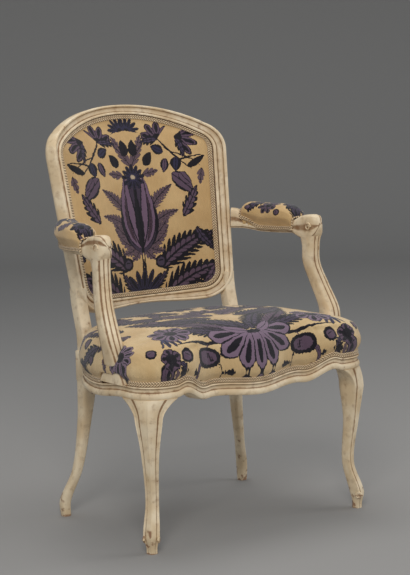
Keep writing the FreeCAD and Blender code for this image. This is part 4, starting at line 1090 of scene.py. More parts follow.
# %% [markdown]
# The cover is a woven floral of a common old kind: blossoms, berries and feathery leaves in
# plum and near-black on an ochre ground, the same on both sides of a middle line.
# Painting it on a picture would freeze its size. Here each motif is a node group that lays
# itself over the colour it is given, as a weaver works one figure after another.

# %% A motif's own coordinates
INK, PLUM, MAUVE = colour(22, 18, 26), colour(92, 72, 88), colour(124, 102, 120)


def motif(name, *more):
    """Group for one figure, with its sockets and the place measured in the figure's own way."""
    tree, given, made = group(
        name,
        [
            ("Ground", "Color", None), ("Place", "Vector", None), ("Sideways", "Float", 0.0),
            ("Up", "Float", 0.0), ("Turn", "Float", 0.0), ("Length", "Float", 1.0),
            *((title, "Float", value) for title, value in more),
            ("Core", "Float", 0.74), ("Thread", "Color", PLUM), ("Outline", "Color", INK),
        ],
        [("Colour", "Color")],
    )
    x, y, _ = split(given["Place"])
    x, y = x - given["Sideways"], y - given["Up"]
    cosine, sine = given["Turn"].step("COSINE"), given["Turn"].step("SINE")
    u = (x * cosine + y * sine) / given["Length"]
    v = (y * cosine - x * sine) / given["Length"]
    return tree, given, made["Colour"], u, v


# %% [markdown]
# A blossom counts petals round a heart: each has a drop inside, a gap beside it and a rim.
# Spread says how much of the full round it opens to, so a bud is a narrow blossom.

# %% Blossom
blossom, given, out, u, v = motif(
    "blossom", ("Petals", 7.0), ("Spread", 1.0), ("Heart", 0.26), ("Slim", 2.2)
)
reach = (u * u + v * v).step("SQRT")
angle = v.step("ARCTAN2", u) / math.pi
inside = abs(angle) < given["Spread"]
count = angle * given["Petals"] * 0.5
aside = abs(count - count.step("ROUND"))
tip = (aside * given["Slim"]).step("COSINE") * 0.6 + 0.4
petal = (reach < tip) * inside
rim = reach > tip - (1.0 - given["Core"]) * 0.3
gap = aside * 2.0 > 0.88
drop = (abs(reach - 0.6) * 3.6) ** 2.0 + (aside * 4.6) ** 2.0 < 1.0
dark = rim.step("MAXIMUM", gap).step("MAXIMUM", drop)
result = blended(petal, given["Ground"], given["Thread"])
result = blended(dark * petal, result, given["Outline"])
feed(out, blended((reach < given["Heart"]) * inside, result, given["Outline"]))
print("blossom:", len(blossom.nodes), "nodes")

# %% [markdown]
# A leaf is a blade that swells and curls along its length. With no teeth it is a plain stem
# or petal; with teeth its edge is cut into lobes and a vein runs to each.

# %% Leaf
leaf, given, out, u, v = motif("leaf", ("Width", 0.25), ("Curl", 0.0), ("Teeth", 0.0))
aside = abs(v - given["Curl"] * (u * u)) / given["Width"]
within = (u > 0.0) * (u < 1.0)
held = u.step("MAXIMUM", 0.0).step("MINIMUM", 1.0)
belly = (held ** 0.8 * math.pi).step("SINE") ** 0.75
tooth = ((u - aside * 0.26) * given["Teeth"]).step("FRACT")
toothed = given["Teeth"] > 1.0
lobe = (tooth * math.pi).step("SINE").step("SQRT")
edge = belly * (1.0 - toothed * (lobe * -0.6 + 0.6))
blade = (aside < edge) * within
rim = aside > edge * given["Core"]
vein = (tooth < 0.13) * toothed
dark = rim.step("MAXIMUM", aside < 0.07).step("MAXIMUM", vein)
result = blended(blade, given["Ground"], given["Thread"])
feed(out, blended(dark * blade, result, given["Outline"]))
print("leaf:", len(leaf.nodes), "nodes")

# %% [markdown]
# A berry is a round seed in a ring, with a streak of light across its heart.

# %% Berry
berry, given, out, u, v = motif("berry")
reach = (u * u + v * v).step("SQRT")
streak = (abs(v - 0.2) < 0.07) * (reach < 0.45)
result = blended(reach < 1.0, given["Ground"], given["Outline"])
result = blended(reach < given["Core"] * 0.88, result, given["Thread"])
feed(out, blended(streak, result, given["Outline"]))
print("berry:", len(berry.nodes), "nodes")

# %% [markdown]
# Every cloth here is thread over thread: fine in the cover, coarse in hessian and webbing.
# One weave group makes them all, with its own thread count, so light breaks on the
# surface the same way at each scale. It works on the cloth's own laid-out coordinates.

# %% Weave
weave, given, made = group(
    "weave",
    [("Place", "Vector", None), ("Threads", "Float", 700.0), ("Slub", "Float", 0.4)],
    [("Height", "Float"), ("Shade", "Float")],
)
x, y, _ = split(given["Place"])
turns = given["Threads"] * math.pi
over = (x * turns).step("SINE") * (y * turns).step("SINE") * 0.5 + 0.5
thick = cloud(scaled(given["Place"], (1, 0.12, 1)), 420.0, 3.0)
feed(made["Height"], over + thick * given["Slub"])
feed(made["Shade"], (over - 0.5) * 0.34 + (thick * 0.24 + 0.86))


def threads(tree, shader, place, base, count, depth, slub=0.4):
    """Finish a cloth: thread shading, relief and a little soil."""
    woven = use(tree, weave, Place=place, Threads=count, Slub=slub)
    shade = woven["Shade"] * (cloud(object_place(tree), 9.0, 5.0) * 0.34 + 0.84)
    parts = added(tree, "SeparateColor", Color=base).socket.node.outputs
    red, green, blue = (Wire(part) * shade for part in parts)
    toned = added(tree, "CombineColor", Red=red, Green=green, Blue=blue)
    feed(shader.inputs["Base Color"], toned)
    bumped(shader, 0.5, depth, woven["Height"])


def cloth_material(name):
    return blank_material(
        name, Roughness=0.88, Specular_IOR_Level=0.2, Sheen_Weight=0.25, Sheen_Roughness=0.5
    )


def cloth_place(tree, name="cloth"):
    laid = added(tree, "UVMap", "UV")
    laid.socket.node.uv_map = name
    return laid


print("weave:", len(weave.nodes), "nodes")

# %% [markdown]
# A cover is a ground tone with its figures laid one over another. Back and seat fold their
# place at the middle line, so one half is drawn and the loom repeats it.
# The place is snapped to steps of the weave, which gives edges their little stairs.

# %% Figures laid on a ground
LOOM_STEP, SWAY = 0.0014, 0.006
MOTIFS = {
    "leaf": (leaf, ("Width", "Curl", "Teeth")),
    "blossom": (blossom, ("Petals", "Heart", "Slim", "Spread")),
    "berry": (berry, ()),
}


def patterned(name, ground, figures, mirror=True):
    """Each figure: motif, across, up, degrees and length in millimetres, look, then its shape."""
    material, tree, shader = cloth_material(name)
    laid = cloth_place(tree)
    sway = cloud(laid, 60.0) * SWAY - SWAY / 2
    x, y, _ = split(laid)
    x = abs(x) if mirror else x
    x, y = [(part + sway).step("SNAP", LOOM_STEP) for part in (x, y)]
    place = added(tree, "CombineXYZ", X=x, Y=y)
    result = blended(ramp(cloud(laid, 14.0, 5.0), 0.35, 0.7), *ground)
    for kind, across, up, degrees, length, look, *shape in figures:
        shared, titles = MOTIFS[kind]
        values = dict(zip(("Thread", "Core", "Outline"), look)) | dict(zip(titles, shape))
        result = use(
            tree, shared, Ground=result, Place=place, Sideways=across * MM, Up=up * MM,
            Turn=math.radians(degrees), Length=length * MM, **values,
        )["Colour"]
    threads(tree, shader, laid, result, 900.0, 0.0006)
    print(name, len(figures), "figures")
    return material


# Looks: thread, share of the figure inside its dark rim, and outline where it isn't ink.
PLAIN, INKY, NAVY = (PLUM,), (INK,), (colour(46, 42, 66),)
DARK, SOFT, FROND = (colour(70, 58, 78), 0.42), (MAUVE, 0.86), (colour(96, 76, 84), 0.95)
WOVEN_PALE = (colour(190, 168, 140), 0.74, colour(150, 134, 120))

# %% [markdown]
# These lists are the drawing. Stems and big leaves come first, and smaller figures are laid
# over them. The back is measured up from the foot of its opening, the seat from the chair's
# own middle, and the arms along their own line. Figures could be scattered by chance, but a
# woven pattern is composed, so every figure has its place.

# %% The figures
back_figures = [
    ("leaf", 100, 300, 20, 100, INKY, 0.022, -0.2), ("leaf", 78, 372, -58, 120, INKY, 0.022, 0.2),
    ("leaf", 108, 330, -14, 86, INKY, 0.022, -0.25), ("leaf", 2, 10, 90, 120, INKY, 0.02),
    ("leaf", 58, 2, 40, 158, (PLUM, 0.36), 0.24, -0.36, 10), ("leaf", 20, 6, 62, 70, DARK, 0.2, -0.2, 6),
    ("leaf", 46, 66, 44, 158, (PLUM, 0.4), 0.23, -0.34, 10),
    ("leaf", 176, 134, -96, 46, DARK, 0.34, 0.4, 5), ("leaf", 150, 150, -74, 60, DARK, 0.3, 0.35, 5),
    ("leaf", 186, 60, -110, 50, (PLUM, 0.6), 0.3, -0.4, 4), ("leaf", 24, 120, 12, 60, FROND, 0.24, 0.5, 6),
    ("leaf", 34, 140, 24, 66, FROND, 0.22, 0.4, 7), ("leaf", 38, 166, 38, 72, FROND, 0.2, -0.3, 7),
    ("leaf", 34, 196, 58, 84, FROND, 0.2, -0.3, 8), ("leaf", 4, 118, -64, 44, FROND, 0.28, 0.3, 4),
    ("leaf", 14, 116, -26, 46, FROND, 0.26, 0.2, 4),
    ("leaf", 0, 104, 90, 176, (colour(62, 50, 66), 0.86), 0.3),
    ("leaf", 2, 116, 60, 158, (colour(112, 88, 108), 0.84), 0.15, 0.42),
    ("leaf", 14, 128, 58, 112, (colour(70, 50, 62),), 0.05, 0.5), ("leaf", 0, 112, 90, 132, INKY, 0.075),
    ("blossom", 0, 4, 90, 66, NAVY, 17, 0.3, 2.5, 0.34), ("leaf", 0, 300, 64, 66, FROND, 0.2, -0.2, 4),
    ("blossom", 0, 278, 90, 31, NAVY, 12, 0.2, 2.4), ("berry", 0, 278, 0, 6, WOVEN_PALE),
    ("leaf", 10, 326, 84, 40, INKY, 0.3), ("leaf", 34, 306, 34, 36, INKY, 0.34, 0.2),
    ("leaf", 26, 282, 10, 46, FROND, 0.24, 0, 3), ("leaf", 24, 346, 60, 34, FROND, 0.24, 0, 3),
    ("blossom", 8, 386, 80, 36, NAVY, 15, 0.2, 2.5, 0.5), ("leaf", 40, 366, 20, 40, FROND, 0.24, 0, 3),
    ("blossom", 84, 362, 120, 44, PLAIN, 9, 0.3, 2.3, 0.42), ("leaf", 84, 362, 176, 48, DARK, 0.26, 0.2, 4),
    ("blossom", 128, 366, -24, 60, PLAIN, 12, 0.34, 2.4, 0.3),
    ("leaf", 130, 362, -62, 48, DARK, 0.24, -0.2, 4), ("leaf", 92, 330, 150, 34, (*NAVY, 0.5), 0.36),
    ("leaf", 96, 316, -110, 36, (PLUM, 0.5), 0.3), ("leaf", 122, 316, -100, 34, (*NAVY, 0.45), 0.42),
    ("leaf", 148, 292, 14, 52, INKY, 0.16, 0.2), ("leaf", 184, 286, -104, 40, FROND, 0.26, 0, 3),
    ("leaf", 104, 278, -34, 72, (PLUM, 0.72), 0.27, -0.15),
    ("leaf", 126, 280, -60, 40, (PLUM, 0.72), 0.3, 0.2),
    ("leaf", 118, 176, 50, 84, (PLUM, 0.5), 0.22, 0.1, 5), ("berry", 46, 80, 0, 15, (colour(70, 58, 74),)),
]
seat_figures = [
    ("leaf", 30, -252, 4, 190, INKY, 0.022, -0.12), ("leaf", 96, -340, 76, 60, INKY, 0.022),
    ("leaf", 150, -340, 110, 96, PLAIN, 0.05), ("leaf", 120, -180, 60, 160, INKY, 0.022, 0.2),
    ("leaf", 4, -232, 60, 150, DARK, 0.2, -0.2, 10),
    ("leaf", 34, -226, 30, 170, (PLUM, 0.6), 0.2, 0.15, 11),
    ("leaf", 60, -214, 2, 140, DARK, 0.17, 0.12, 9), ("leaf", 84, -150, 26, 150, DARK, 0.22, 0.2, 10),
    ("leaf", 10, -110, 44, 150, (PLUM, 0.6), 0.22, -0.25, 10),
    ("leaf", 30, -130, 8, 130, DARK, 0.2, 0.2, 9), ("leaf", 104, -60, 16, 130, DARK, 0.24, 0.2, 8),
    ("leaf", 40, -30, 36, 130, DARK, 0.24, 0.2, 8), ("leaf", 40, 40, 24, 100, (PLUM, 0.6), 0.24, 0.2, 7),
    ("leaf", 140, 50, 50, 90, DARK, 0.24, 0.2, 7), ("leaf", 230, -90, 62, 110, DARK, 0.24, 0.1, 7),
    ("leaf", 240, -132, 14, 96, (PLUM, 0.6), 0.24, 0.2, 7),
    ("leaf", 232, 10, 22, 94, (PLUM, 0.6), 0.26, 0.2, 7), ("leaf", 316, -90, 76, 96, DARK, 0.24, -0.2, 7),
    ("leaf", 350, -20, 88, 80, DARK, 0.24, 0.2, 6), ("leaf", 330, -120, -14, 40, FROND, 0.3, 0, 4),
    ("leaf", 280, -338, 128, 54, (PLUM, 0.6), 0.28, 0.1), ("leaf", 190, -346, 66, 56, DARK, 0.26, -0.1, 4),
    ("leaf", 196, -344, 20, 50, FROND, 0.2, 0.1, 3), ("leaf", 224, -340, 150, 36, INKY, 0.24),
    ("blossom", 6, -236, -96, 104, SOFT, 11, 0.14, 1.6, 0.64), ("leaf", 4, -232, 78, 50, DARK, 0.3, 0, 4),
    ("leaf", 14, -238, 20, 60, SOFT, 0.24, 0.3), ("blossom", 0, -70, 90, 56, PLAIN, 11, 0.25, 2.2, 0.65),
    ("blossom", 0, 40, 90, 46, NAVY, 9, 0.3),
    ("blossom", 222, -200, -150, 66, (colour(70, 68, 104),), 22, 0.3, 2.6, 0.46),
    ("blossom", 238, -296, -60, 30, PLAIN, 5, 0.5, 1.4), ("blossom", 190, -200, 90, 48, SOFT, 7, 0.3, 1.8),
    ("blossom", 180, 20, 60, 44, PLAIN, 8), ("blossom", 330, -180, 0, 44, SOFT, 9, 0.3, 1.8),
    ("berry", 186, -290, 20, 21, PLAIN), ("berry", 122, -284, 80, 23, PLAIN),
    ("berry", 148, -332, 0, 18, PLAIN), ("berry", 92, -330, 40, 15, PLAIN),
    ("berry", 300, -20, 0, 17, PLAIN), ("berry", 150, -84, 0, 16, PLAIN),
    ("berry", 284, -262, 0, 16, PLAIN), ("berry", 100, -20, 0, 15, PLAIN), ("berry", 262, 70, 0, 15, PLAIN),
    ("berry", 344, -60, 0, 13, PLAIN),
]
arm_figures = [
    ("leaf", -34, -70, 50, 70, DARK, 0.24, -0.2, 6), ("leaf", 0, -56, 88, 150, INKY, 0.022),
    ("blossom", 6, -30, 80, 26, DARK, 7, 0.3), ("blossom", -18, 22, 110, 26, PLAIN, 8, 0.3),
    ("leaf", 6, 0, 40, 48, PLAIN, 0.28, 0.2, 5), ("leaf", 4, 50, 150, 50, DARK, 0.28, 0.2, 5),
    ("blossom", 20, 74, 70, 24, DARK, 7, 0.3), ("berry", 30, 34, 0, 8, PLAIN),
    ("berry", -38, -10, 0, 9, PLAIN), ("berry", 34, -48, 0, 9, PLAIN), ("berry", -30, 70, 0, 8, PLAIN),
]
back_ground = (colour(196, 160, 110), colour(208, 174, 124))
seat_ground = (colour(204, 172, 124), colour(218, 190, 144))
arm_ground = (colour(200, 165, 114), colour(212, 178, 128))
back_cover = patterned("tapestry_back", back_ground, back_figures)
seat_cover = patterned("tapestry_seat", seat_ground, seat_figures)
arm_cloth = patterned("tapestry_arms", arm_ground, arm_figures, mirror=False)

# %% [markdown]
# The plain cloths use the same weave with a mottled ground: fine on the outside back, coarse
# in hessian and webbing. The braid has no threads of its own, only slanting turns of a cord,
# read from the strip's coordinates so that they follow every bend; painted shade lies between
# the turns and painted highlight on them.

# %% Plain cloths and braid
BRAID_SPINE, TURNS = 0.0085, 1050.0


def plain_cloth(name, tone, count, depth, slub, laid=None):
    material, tree, shader = cloth_material(name)
    place = cloth_place(tree, laid) if laid else object_place(tree)
    darker = tuple(part * 0.8 for part in tone[:3]) + (1,)
    mottled = blended(ramp(cloud(place, 30.0, 5.0), 0.35, 0.7), darker, tone)
    threads(tree, shader, place, mottled, count, depth, slub)
    return material


def braid_material():
    """Flat gimp: tan cords in slanting turns, with painted shade in the dips and painted highlight on top.
    """
    material, tree, shader = blank_material("tan_braid", Roughness=0.8, Sheen_Weight=0.2)
    x, y, _ = split(cloth_place(tree, "UVMap"))
    turn = ((x + abs(y - BRAID_SPINE) * 1.2) * TURNS).step("SINE")
    # The turns' relief drives the bump and also the colour: dark brown in the dips is painted shade, pale
    # tan on the turns is painted highlight.
    raised_and_lit = ramp(turn, -0.75, 0.35)
    base = blended(raised_and_lit, colour(104, 74, 44), colour(236, 210, 170))
    worn = ramp(cloud(object_place(tree), 40.0, 5.0), 0.4, 0.7)
    feed(shader.inputs["Base Color"], blended(worn * 0.4, base, colour(150, 116, 78)))
    bumped(shader, 0.8, 0.001, raised_and_lit)
    return material


outside_cloth = plain_cloth("outside_cloth", colour(196, 164, 116), 900.0, 0.0005, 0.7, "cloth")
hessian = plain_cloth("hessian_cloth", colour(160, 126, 80), 420.0, 0.0012, 0.9)
webbing = plain_cloth("jute_webbing", colour(176, 146, 102), 300.0, 0.0012, 0.8)
braid = braid_material()
for name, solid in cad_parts.items():
    hidden = hessian if "hessian" in name else webbing if "webbing" in name else beech
    solid.data.materials.clear()
    solid.data.materials.append(painted if name == "back_seat_rail" else hidden)
print("plain cloths:", outside_cloth.name, hessian.name, webbing.name, braid.name)

# %% [markdown]
# A stuffed seat is tight cloth over horsehair. It swells between the places that hold it,
# and only the tacked edges keep the frame's line. Vertex moves alone look stiff, so a closed
# form is remeshed evenly and blown up a little by the cloth solver, held where it is nailed.

# %% Stuffing helpers
SWELLING_STEPS = 20


def carve(piece, cutter):
    """Cut one closed shape out of another, and take the cutter away."""
    chosen(piece)
    cut = piece.modifiers.new("cut", "BOOLEAN")
    cut.object = cutter
    cut.solver = "EXACT"
    bpy.ops.object.modifier_apply(modifier="cut")
    bpy.data.objects.remove(cutter)


def swollen(piece, cap, pressure):
    """Blow the piece up with the cloth solver, no point moving past the cap."""
    before = [vertex.co.copy() for vertex in piece.data.vertices]
    cloth = piece.modifiers.new("stuffing", "CLOTH")
    cloth.settings.use_pressure = True
    cloth.settings.uniform_pressure_force = pressure
    cloth.settings.effector_weights.gravity = 0
    cloth.settings.vertex_group_mass = "nailed"
    cloth.settings.quality = 4
    cloth.collision_settings.use_collision = False
    cloth.point_cache.frame_start = 1
    cloth.point_cache.frame_end = SWELLING_STEPS
    for moment in range(1, SWELLING_STEPS + 1):
        bpy.context.scene.frame_set(moment)
    bpy.ops.object.modifier_apply(modifier="stuffing")
    bpy.context.scene.frame_set(1)
    moves = []
    for vertex, start in zip(piece.data.vertices, before):
        move = vertex.co - start
        moves.append(move.length / MM)
        if move.length > cap * MM:
            vertex.co = start + move.normalized() * cap * MM
    at_cap = sum(move > cap for move in moves)
    print(piece.name, "swells", round(max(moves), 2), "mm at most;", at_cap, "points held at", cap)


def plumped(piece, voxel, cap, held, pressure=4.0):
    """Even mesh, nailed where held says so, swollen and then divided once."""
    chosen(piece)
    piece.data.remesh_voxel_size = voxel
    bpy.ops.object.voxel_remesh()
    pins = piece.vertex_groups.new(name="nailed")
    for vertex in piece.data.vertices:
        pins.add([vertex.index], held(vertex.co / MM), "REPLACE")
    swollen(piece, cap, pressure)
    piece.vertex_groups.clear()
    smoother = piece.modifiers.new("finer", "SUBSURF")
    smoother.levels = smoother.render_levels = 1
    bpy.ops.object.modifier_apply(modifier="finer")
    bpy.ops.object.shade_smooth()


def lay_out(piece, rule):
    """Write where each point lies on the flat cloth, in metres, as the piece's own coordinates."""
    mesh = piece.data
    while mesh.uv_layers:
        mesh.uv_layers.remove(mesh.uv_layers[0])
    laid = mesh.uv_layers.new(name="cloth").data
    places = [[part * MM for part in rule(vertex.co / MM)] for vertex in mesh.vertices]
    for loop in mesh.loops:
        laid[loop.index].uv = places[loop.vertex_index]


# %% [markdown]
# The seat pad grows inward and upward from the rails in rings, like a pie from its rim.
# Notches for the rear posts and the arm supports are cut out before it is swollen, because
# the cloth is nailed round them too.

# %% Seat pad
CROWN = 445
SEAT_HEART = Vector((0, -75, 0))
# Rows of (out, above the band) at the nailed edge, then rows of (out, height) up the crown.
SEAT_EDGE = [(-5.2, 0.6), (-5.2, 10), (3, 22), (4.5, 30), (3.5, 40)]
SEAT_CROWN = [
    (-5, 410), (-11, 417), (-18, 422.5), (-27, 427), (-38, 431), (-54, 435), (-72, 438.5),
    (-95, 441), (-130, 443), (-180, 444), (-240, 444),
]
NOTCH_HEIGHTS = (300, 330, 346, 354, 360, 366, 372, 380, 390, 402, 416, 432, 450, 470)
NOTCH_CLEARANCE = 1.07
seat_half = [front_station(x) for x in steps(0, FRONT_END, 26)]
seat_half += [knee_station(degrees) for degrees in steps(-82, 0, 9)]
seat_half += [side_station(y) for y in steps(SIDE_START, SIDE_END, 22)] + [CORNER_STATION]
seat_half += [rear_station(186 * share) for share in (0.99, 0.75, 0.5, 0.25)]
seat_outline = seat_half + [rear_station(0)] + flipped(seat_half[1:])


def seat_ring(out, height):
    """Ring this far out from the rails; height is a level, or a rule from the rail's edge."""
    ring = []
    for point, outward, low in seat_outline:
        inner = SEAT_HEART + (point - SEAT_HEART) * (1 + out / 270)
        place = point + outward * out if out > -12 else inner
        ring.append(place + UP * (height(low) if callable(height) else height))
    return ring


def above_band(rise):
    return lambda low: low + BAND + rise


levels = [(-60, 362), (-14, 352)] + [(out, above_band(rise)) for out, rise in SEAT_EDGE]
seat = pulled("seat_pad", [seat_ring(out, height) for out, height in levels + SEAT_CROWN])
for side in (1, -1):
    deselect()
    bpy.ops.mesh.primitive_cube_add(size=1, location=(side * 0.231, 0.13, 0.4))
    notch = bpy.context.object
    notch.dimensions = (0.096, 0.106, 0.3)
    bpy.ops.object.transform_apply(location=True, scale=True)
    carve(seat, notch)
    rings = []
    for z in NOTCH_HEIGHTS:
        ring = grown(support_section(max(z, SUPPORT_FOOT)), NOTCH_CLEARANCE)
        rings.append([Vector((side * place.x, place.y, z)) for place in ring])
    carve(seat, pulled("notch", rings))


def seat_held(place):
    """One where the cloth is nailed down, nothing on the free crown."""
    low = side_low(place.y) if abs(place.x) > 240 else front_low(place.x)
    edge = 1 - clamp((place.z - low - BAND - 10) / 10)
    beside_foot = max(0, abs(abs(place.x) - 291) - 18) + max(0, abs(place.y + 146) - 36)
    beside_post = max(0, 178 - abs(place.x)) + max(0, 70 - place.y)
    rear = clamp((place.y - 96) / 10) if place.z < 400 else 0
    return max(edge, clamp(1 - beside_foot / 12), clamp(1 - beside_post / 12), rear)


plumped(seat, 0.0058, 6, seat_held)
seat_reach = [(point + outward * 6, outward) for point, outward, _ in seat_outline]


def seat_laid(place):
    """The roll and sides turned up flat round the crown."""
    drop = max(CROWN - place.z, 0) * 0.8
    level = Vector((place.x, place.y, 0))
    point, outward = min(seat_reach, key=lambda item: (item[0].xy - level.xy).length_squared)
    near = clamp(1 - (point - level).length / 60)
    return level.xy + outward.xy * drop * near


lay_out(seat, seat_laid)
dress(seat, seat_cover, "tapestry", "seat_cover", "seat_stuffing")
print("seat pad:", len(seat.data.polygons), "faces")

# %% [markdown]
# The back is a thin pad nailed inside the moulding. It is pulled over columns that follow
# the outline, so that its edge stays exactly beside the wood, and it is plumped the same
# way as the seat, but less, because it is only a hand's thickness of hair.

# %% Columns of the back
PANEL_INSET, PANEL_PARTS = 1.6, 44
NAILED_RIM, BACK_CROWN, CROWN_RUN = 12.5, 18.6, 75


def sight_span(x, inset=0.0):
    """Lowest and highest point of the opening at one place across it."""
    x = abs(x)
    low = SIGHT_BOTTOM + inset
    if x > corner.x:
        low = corner.y - math.sqrt(max((CORNER_RADIUS - inset) ** 2 - (x - corner.x) ** 2, 0))
    if x > (CREST_RADIUS - inset) * math.cos(crest_angle):
        rise = math.sqrt(max((SHOULDER_RADIUS - inset) ** 2 - (x - shoulder.x) ** 2, 0))
        return low, shoulder.y + rise
    return low, CREST_MIDDLE + math.sqrt((CREST_RADIUS - inset) ** 2 - x**2)


def inward_at(x, height):
    """Distance in from the nearest edge of the opening."""
    low, high = sight_span(x)
    return min(beside_sight(0, height) - abs(x), height - low, high - height)


def pad_face(x, height):
    inward = clamp((inward_at(x, height) - NAILED_RIM) / CROWN_RUN)
    return -4.6 + 0.85 * (BACK_CROWN * math.sin(math.pi / 2 * inward))


def column_places(share):
    """Points up one column of the panel, from the bottom of the outline to its top."""
    places = []
    for row in steps(0, 1, PANEL_PARTS):
        part = ease(0, 1, row)
        height = SIGHT_TOP / 2
        for _ in range(6):
            x = share * (beside_sight(0, height) - PANEL_INSET)
            low, high = sight_span(x, PANEL_INSET)
            height = low + (high - low) * part
        places.append((x, height))
    return places


def panel(name, near, far, smooth=38):
    """Closed panel in the opening, with a rule for its near face and a depth for its far one."""
    sections = []
    for part in steps(-1, 1, PANEL_PARTS):
        places = column_places(math.sin(math.pi / 2 * part))
        ring = [on_back(x, height, near(x, height)) for x, height in places]
        sections.append(ring + [on_back(x, height, far) for x, height in places[::-1]])
    return pulled(name, sections, smooth=smooth)


def off_back(place):
    """Height up the leaning back, and distance from the axis it is hollowed round."""
    y, z = place.y - BACK_FOOT_Y, place.z - BACK_FOOT_Z
    height = y * math.sin(LEAN) + z * math.cos(LEAN)
    return height, BACK_RADIUS + y * math.cos(LEAN) - z * math.sin(LEAN)


def back_plane(place):
    """Where a point of the back lies on its upright drawing."""
    height, reach = off_back(place)
    return math.atan2(place.x, reach) * BACK_RADIUS, height


# %% [markdown]
# Both cloths of the back are panels of these columns: a swollen pad in front, and a thin
# stretched cloth behind, which is laid out flat by the same rule.

# %% Back pad and outside back
def back_held(place):
    """One on the nailed rim and behind, nothing on the free face."""
    if BACK_RADIUS - math.hypot(place.x, off_back(place)[1]) < -6.5:
        return 1.0
    x, height = back_plane(place)
    return 1 - clamp((inward_at(clamp(x, -195, 195), height) - 13) / 12)


back = panel("back_pad", pad_face, -10.4)
plumped(back, 0.0048, 5, back_held, 5.0)
lay_out(back, back_plane)
dress(back, back_cover, "tapestry", "inside_back_cover", "back_stuffing", "back_hessian", "back_webbing")
outside = panel("outside_back", lambda x, height: -25.2, -26.6, smooth=60)
lay_out(outside, back_plane)
dress(outside, outside_cloth, "outside_cloth", "outside_back_cover")
print("back pad:", len(back.data.polygons), "faces")

# %% [markdown]
# Each arm carries a small roll of stuffing, nailed along both sides and gathered at the ends.
# It is made like the seat, on sections that follow the curve of the arm.

# %% Arm pads
PAD_FRONT, PAD_REAR = -47, 100
PAD_SPREAD, PAD_RISE = 12.7 * 0.93, 38 * 0.95
EDGE_START = 55


def pad_edge(y):
    return ease(8, 22, (y - EDGE_START) / (PAD_REAR - EDGE_START))


def pad_section(y):
    _, height, width = arm_size(y)
    run = (2 * y - PAD_FRONT - PAD_REAR) / (PAD_REAR - PAD_FRONT)
    full = math.sqrt(max(1 - abs(run) ** 4, 0))
    side, edge = width / 2 + 2.0, pad_edge(y)
    spread = side + PAD_SPREAD * full
    start = height - 8
    rise = 10.3 + PAD_RISE * full
    half = [
        (side, edge), (side, max(edge + 9, start - 4)), (spread, start + rise * 0.36),
        (spread * 0.9, start + rise * 0.74), (spread * 0.55, start + rise * 0.94),
        (0, start + rise),
    ]
    inner = [
        (width / 2 + 0.3, edge), (width / 2 + 0.3, 7), (width / 2 - 1, height - 9),
        (width / 2 - 8, height + 0.4),
    ]
    under = inner + [(-out, up) for out, up in inner[::-1]]
    return across_arm(y, both_sides(half) + under)


def pad_held(place):
    low, height, _ = arm_size(place.y)
    end = min(place.y - PAD_FRONT, PAD_REAR - place.y)
    return max(1 - clamp((place.z - low - height + 6) / 8), 1 - clamp((end - 2) / 8))


def pad_laid(place):
    low, height, _ = arm_size(place.y)
    side = place.x - arm_path(place.y)
    drop = max(low + height + 28 - place.z, 0)
    return side + math.copysign(drop * 0.9, side) * min(abs(side) / 20, 1), place.y


pad_run = [PAD_FRONT + step for step in (0, 1.5, 4)]
pad_run += steps(PAD_FRONT + 8, PAD_REAR - 8, 26) + [PAD_REAR - step for step in (4, 1.5, 0)]
arm_pad = pulled("right_arm_pad", [pad_section(y) for y in pad_run])
plumped(arm_pad, 0.0036, 2.6, pad_held, 5.0)
lay_out(arm_pad, pad_laid)
for piece in pair(arm_pad, arm_cloth, "tapestry", "arm_pad", "arm_cover", "arm_stuffing"):
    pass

# %% [markdown]
# Flat braid hides every row of tacks. A repeated cord could be instanced a thousand times,
# but two raised cords with slanting turns in the material, their shade and highlight painted
# in, read the same and stay light in weight.
# The strip follows the same stations as the rail that it covers.

# %% Braid round the seat
CORDS = [(part, 0.7 + 1.7 * abs(math.sin(2 * math.pi * part)) ** 0.6) for part in steps(0, 1, 14)]
CORDS += [(1, 0), (0, 0)]


def braid_strip(name, stations):
    """Double cord laid on stations of (low edge, way up the strip, way out, width)."""
    sections = []
    for low, up, out, wide in stations:
        sections.append([low + up * (wide * across) + out * proud for across, proud in CORDS])
    return pulled(name, sections, smooth=50)


def seat_braid(name, stations):
    return braid_strip(name, [
        (point + outward * -4.4 + UP * (low + BAND + 0.4), UP, outward, 10.4)
        for point, outward, low in stations
    ])


front_half = [front_station(x) for x in steps(0, FRONT_END, 70)]
front_half += [knee_station(degrees) for degrees in steps(-86, 0, 16)]
front_braid = seat_braid("front_braid", flipped(front_half[1:]) + front_half)
dress(front_braid, braid, "braid", "seat_front_gimp")
side_half = [side_station(y) for y in steps(-105, SIDE_END, 40)]
side_half.append([a + (b - a) * 0.55 for a, b in zip(side_half[-1], CORNER_STATION)])
side_braid = seat_braid("right_side_braid", side_half)
pair(side_braid, braid, "braid", "side_braid", "seat_side_gimp")
rear_braid = seat_braid("rear_braid", [rear_station(x) for x in steps(182, -182, 40)])
dress(rear_braid, braid, "braid", "seat_back_gimp")

# %% [markdown]
# The back's braid lies on the hollow face, so it is placed by distance in from the sight
# line, right round. The same loop serves before and behind, with its cords turned about.

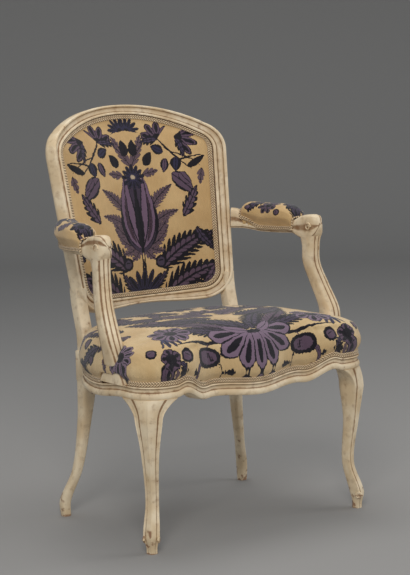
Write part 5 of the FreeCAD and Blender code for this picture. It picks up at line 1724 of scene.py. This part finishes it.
# %% Braid round the back
right_edges = [bottom_pair(x) for x in steps(0, 145, 16)] + side_pairs()
right_edges += [crest_pair(x) for x in steps(crest_joint * 0.95, 0, 24)]
left_edges = [[Vector((-p.x, p.y, 0)) for p in edges] for edges in right_edges[1:-1]]


def back_braid(name, near, way, node):
    """Braid right round the back, on the face that is near or behind."""
    sections = []
    for inner, outer in right_edges + left_edges[::-1]:
        direction = (outer - inner).normalized()
        ring = []
        for across, proud in CORDS:
            place = inner - direction * (1.2 + 9.8 * across)
            ring.append(on_back(place.x, place.y, near + way * proud))
        sections.append(ring)
    strip = pulled(name, sections, round_trip=True, smooth=50)
    dress(strip, braid, "braid", node)


back_braid("inside_back_braid", -4.0, 1, "inside_back_gimp")
back_braid("outside_back_braid", -27.3, -1, "outside_back_gimp")

# %% [markdown]
# An arm's braid runs along both sides of the pad and over both its ends.

# %% Braid round the arm pads
def arm_braid(side):
    stations = []
    for y in steps(PAD_FRONT - 2, PAD_REAR + 2, 60):
        middle, across = arm_frame(y)
        low, _, width = arm_size(y)
        base = middle + across * (side * (width / 2 + 2.5)) + UP * (low + pad_edge(y) - 1)
        stations.append((base, UP, across * side, 9))
    return braid_strip("arm_braid", stations)


def arm_end_braid(y):
    """Braid over the arm at one end of the pad."""
    low, height, width = arm_size(y)
    edge, out = pad_edge(y) - 1, width / 2 + 3.6
    half = [
        (out, edge), (out, height - 8), (out - 2.5, height + 1), (out - 8, height + 4.5),
        (0, height + 5.5),
    ]
    places = across_arm(y, both_sides(half))
    heart = arm_frame(y)[0] + UP * (low + height / 2)
    stations = []
    for i, place in enumerate(places):
        flow = places[min(i + 1, len(places) - 1)] - places[max(i - 1, 0)]
        outward = flow.cross(REAR).normalized()
        outward = outward if outward.dot(place - heart) > 0 else -outward
        stations.append((place - REAR * 1.5 - outward * 1.4, REAR, outward, 3.2))
    return braid_strip("arm_end_braid", stations)


strips = [arm_braid(1), arm_braid(-1)] + [arm_end_braid(y) for y in (PAD_FRONT - 1.8, PAD_REAR + 1.8)]
pair(joined("right_arm_braid", strips), braid, "braid", "arm_braid", "arm_gimp")
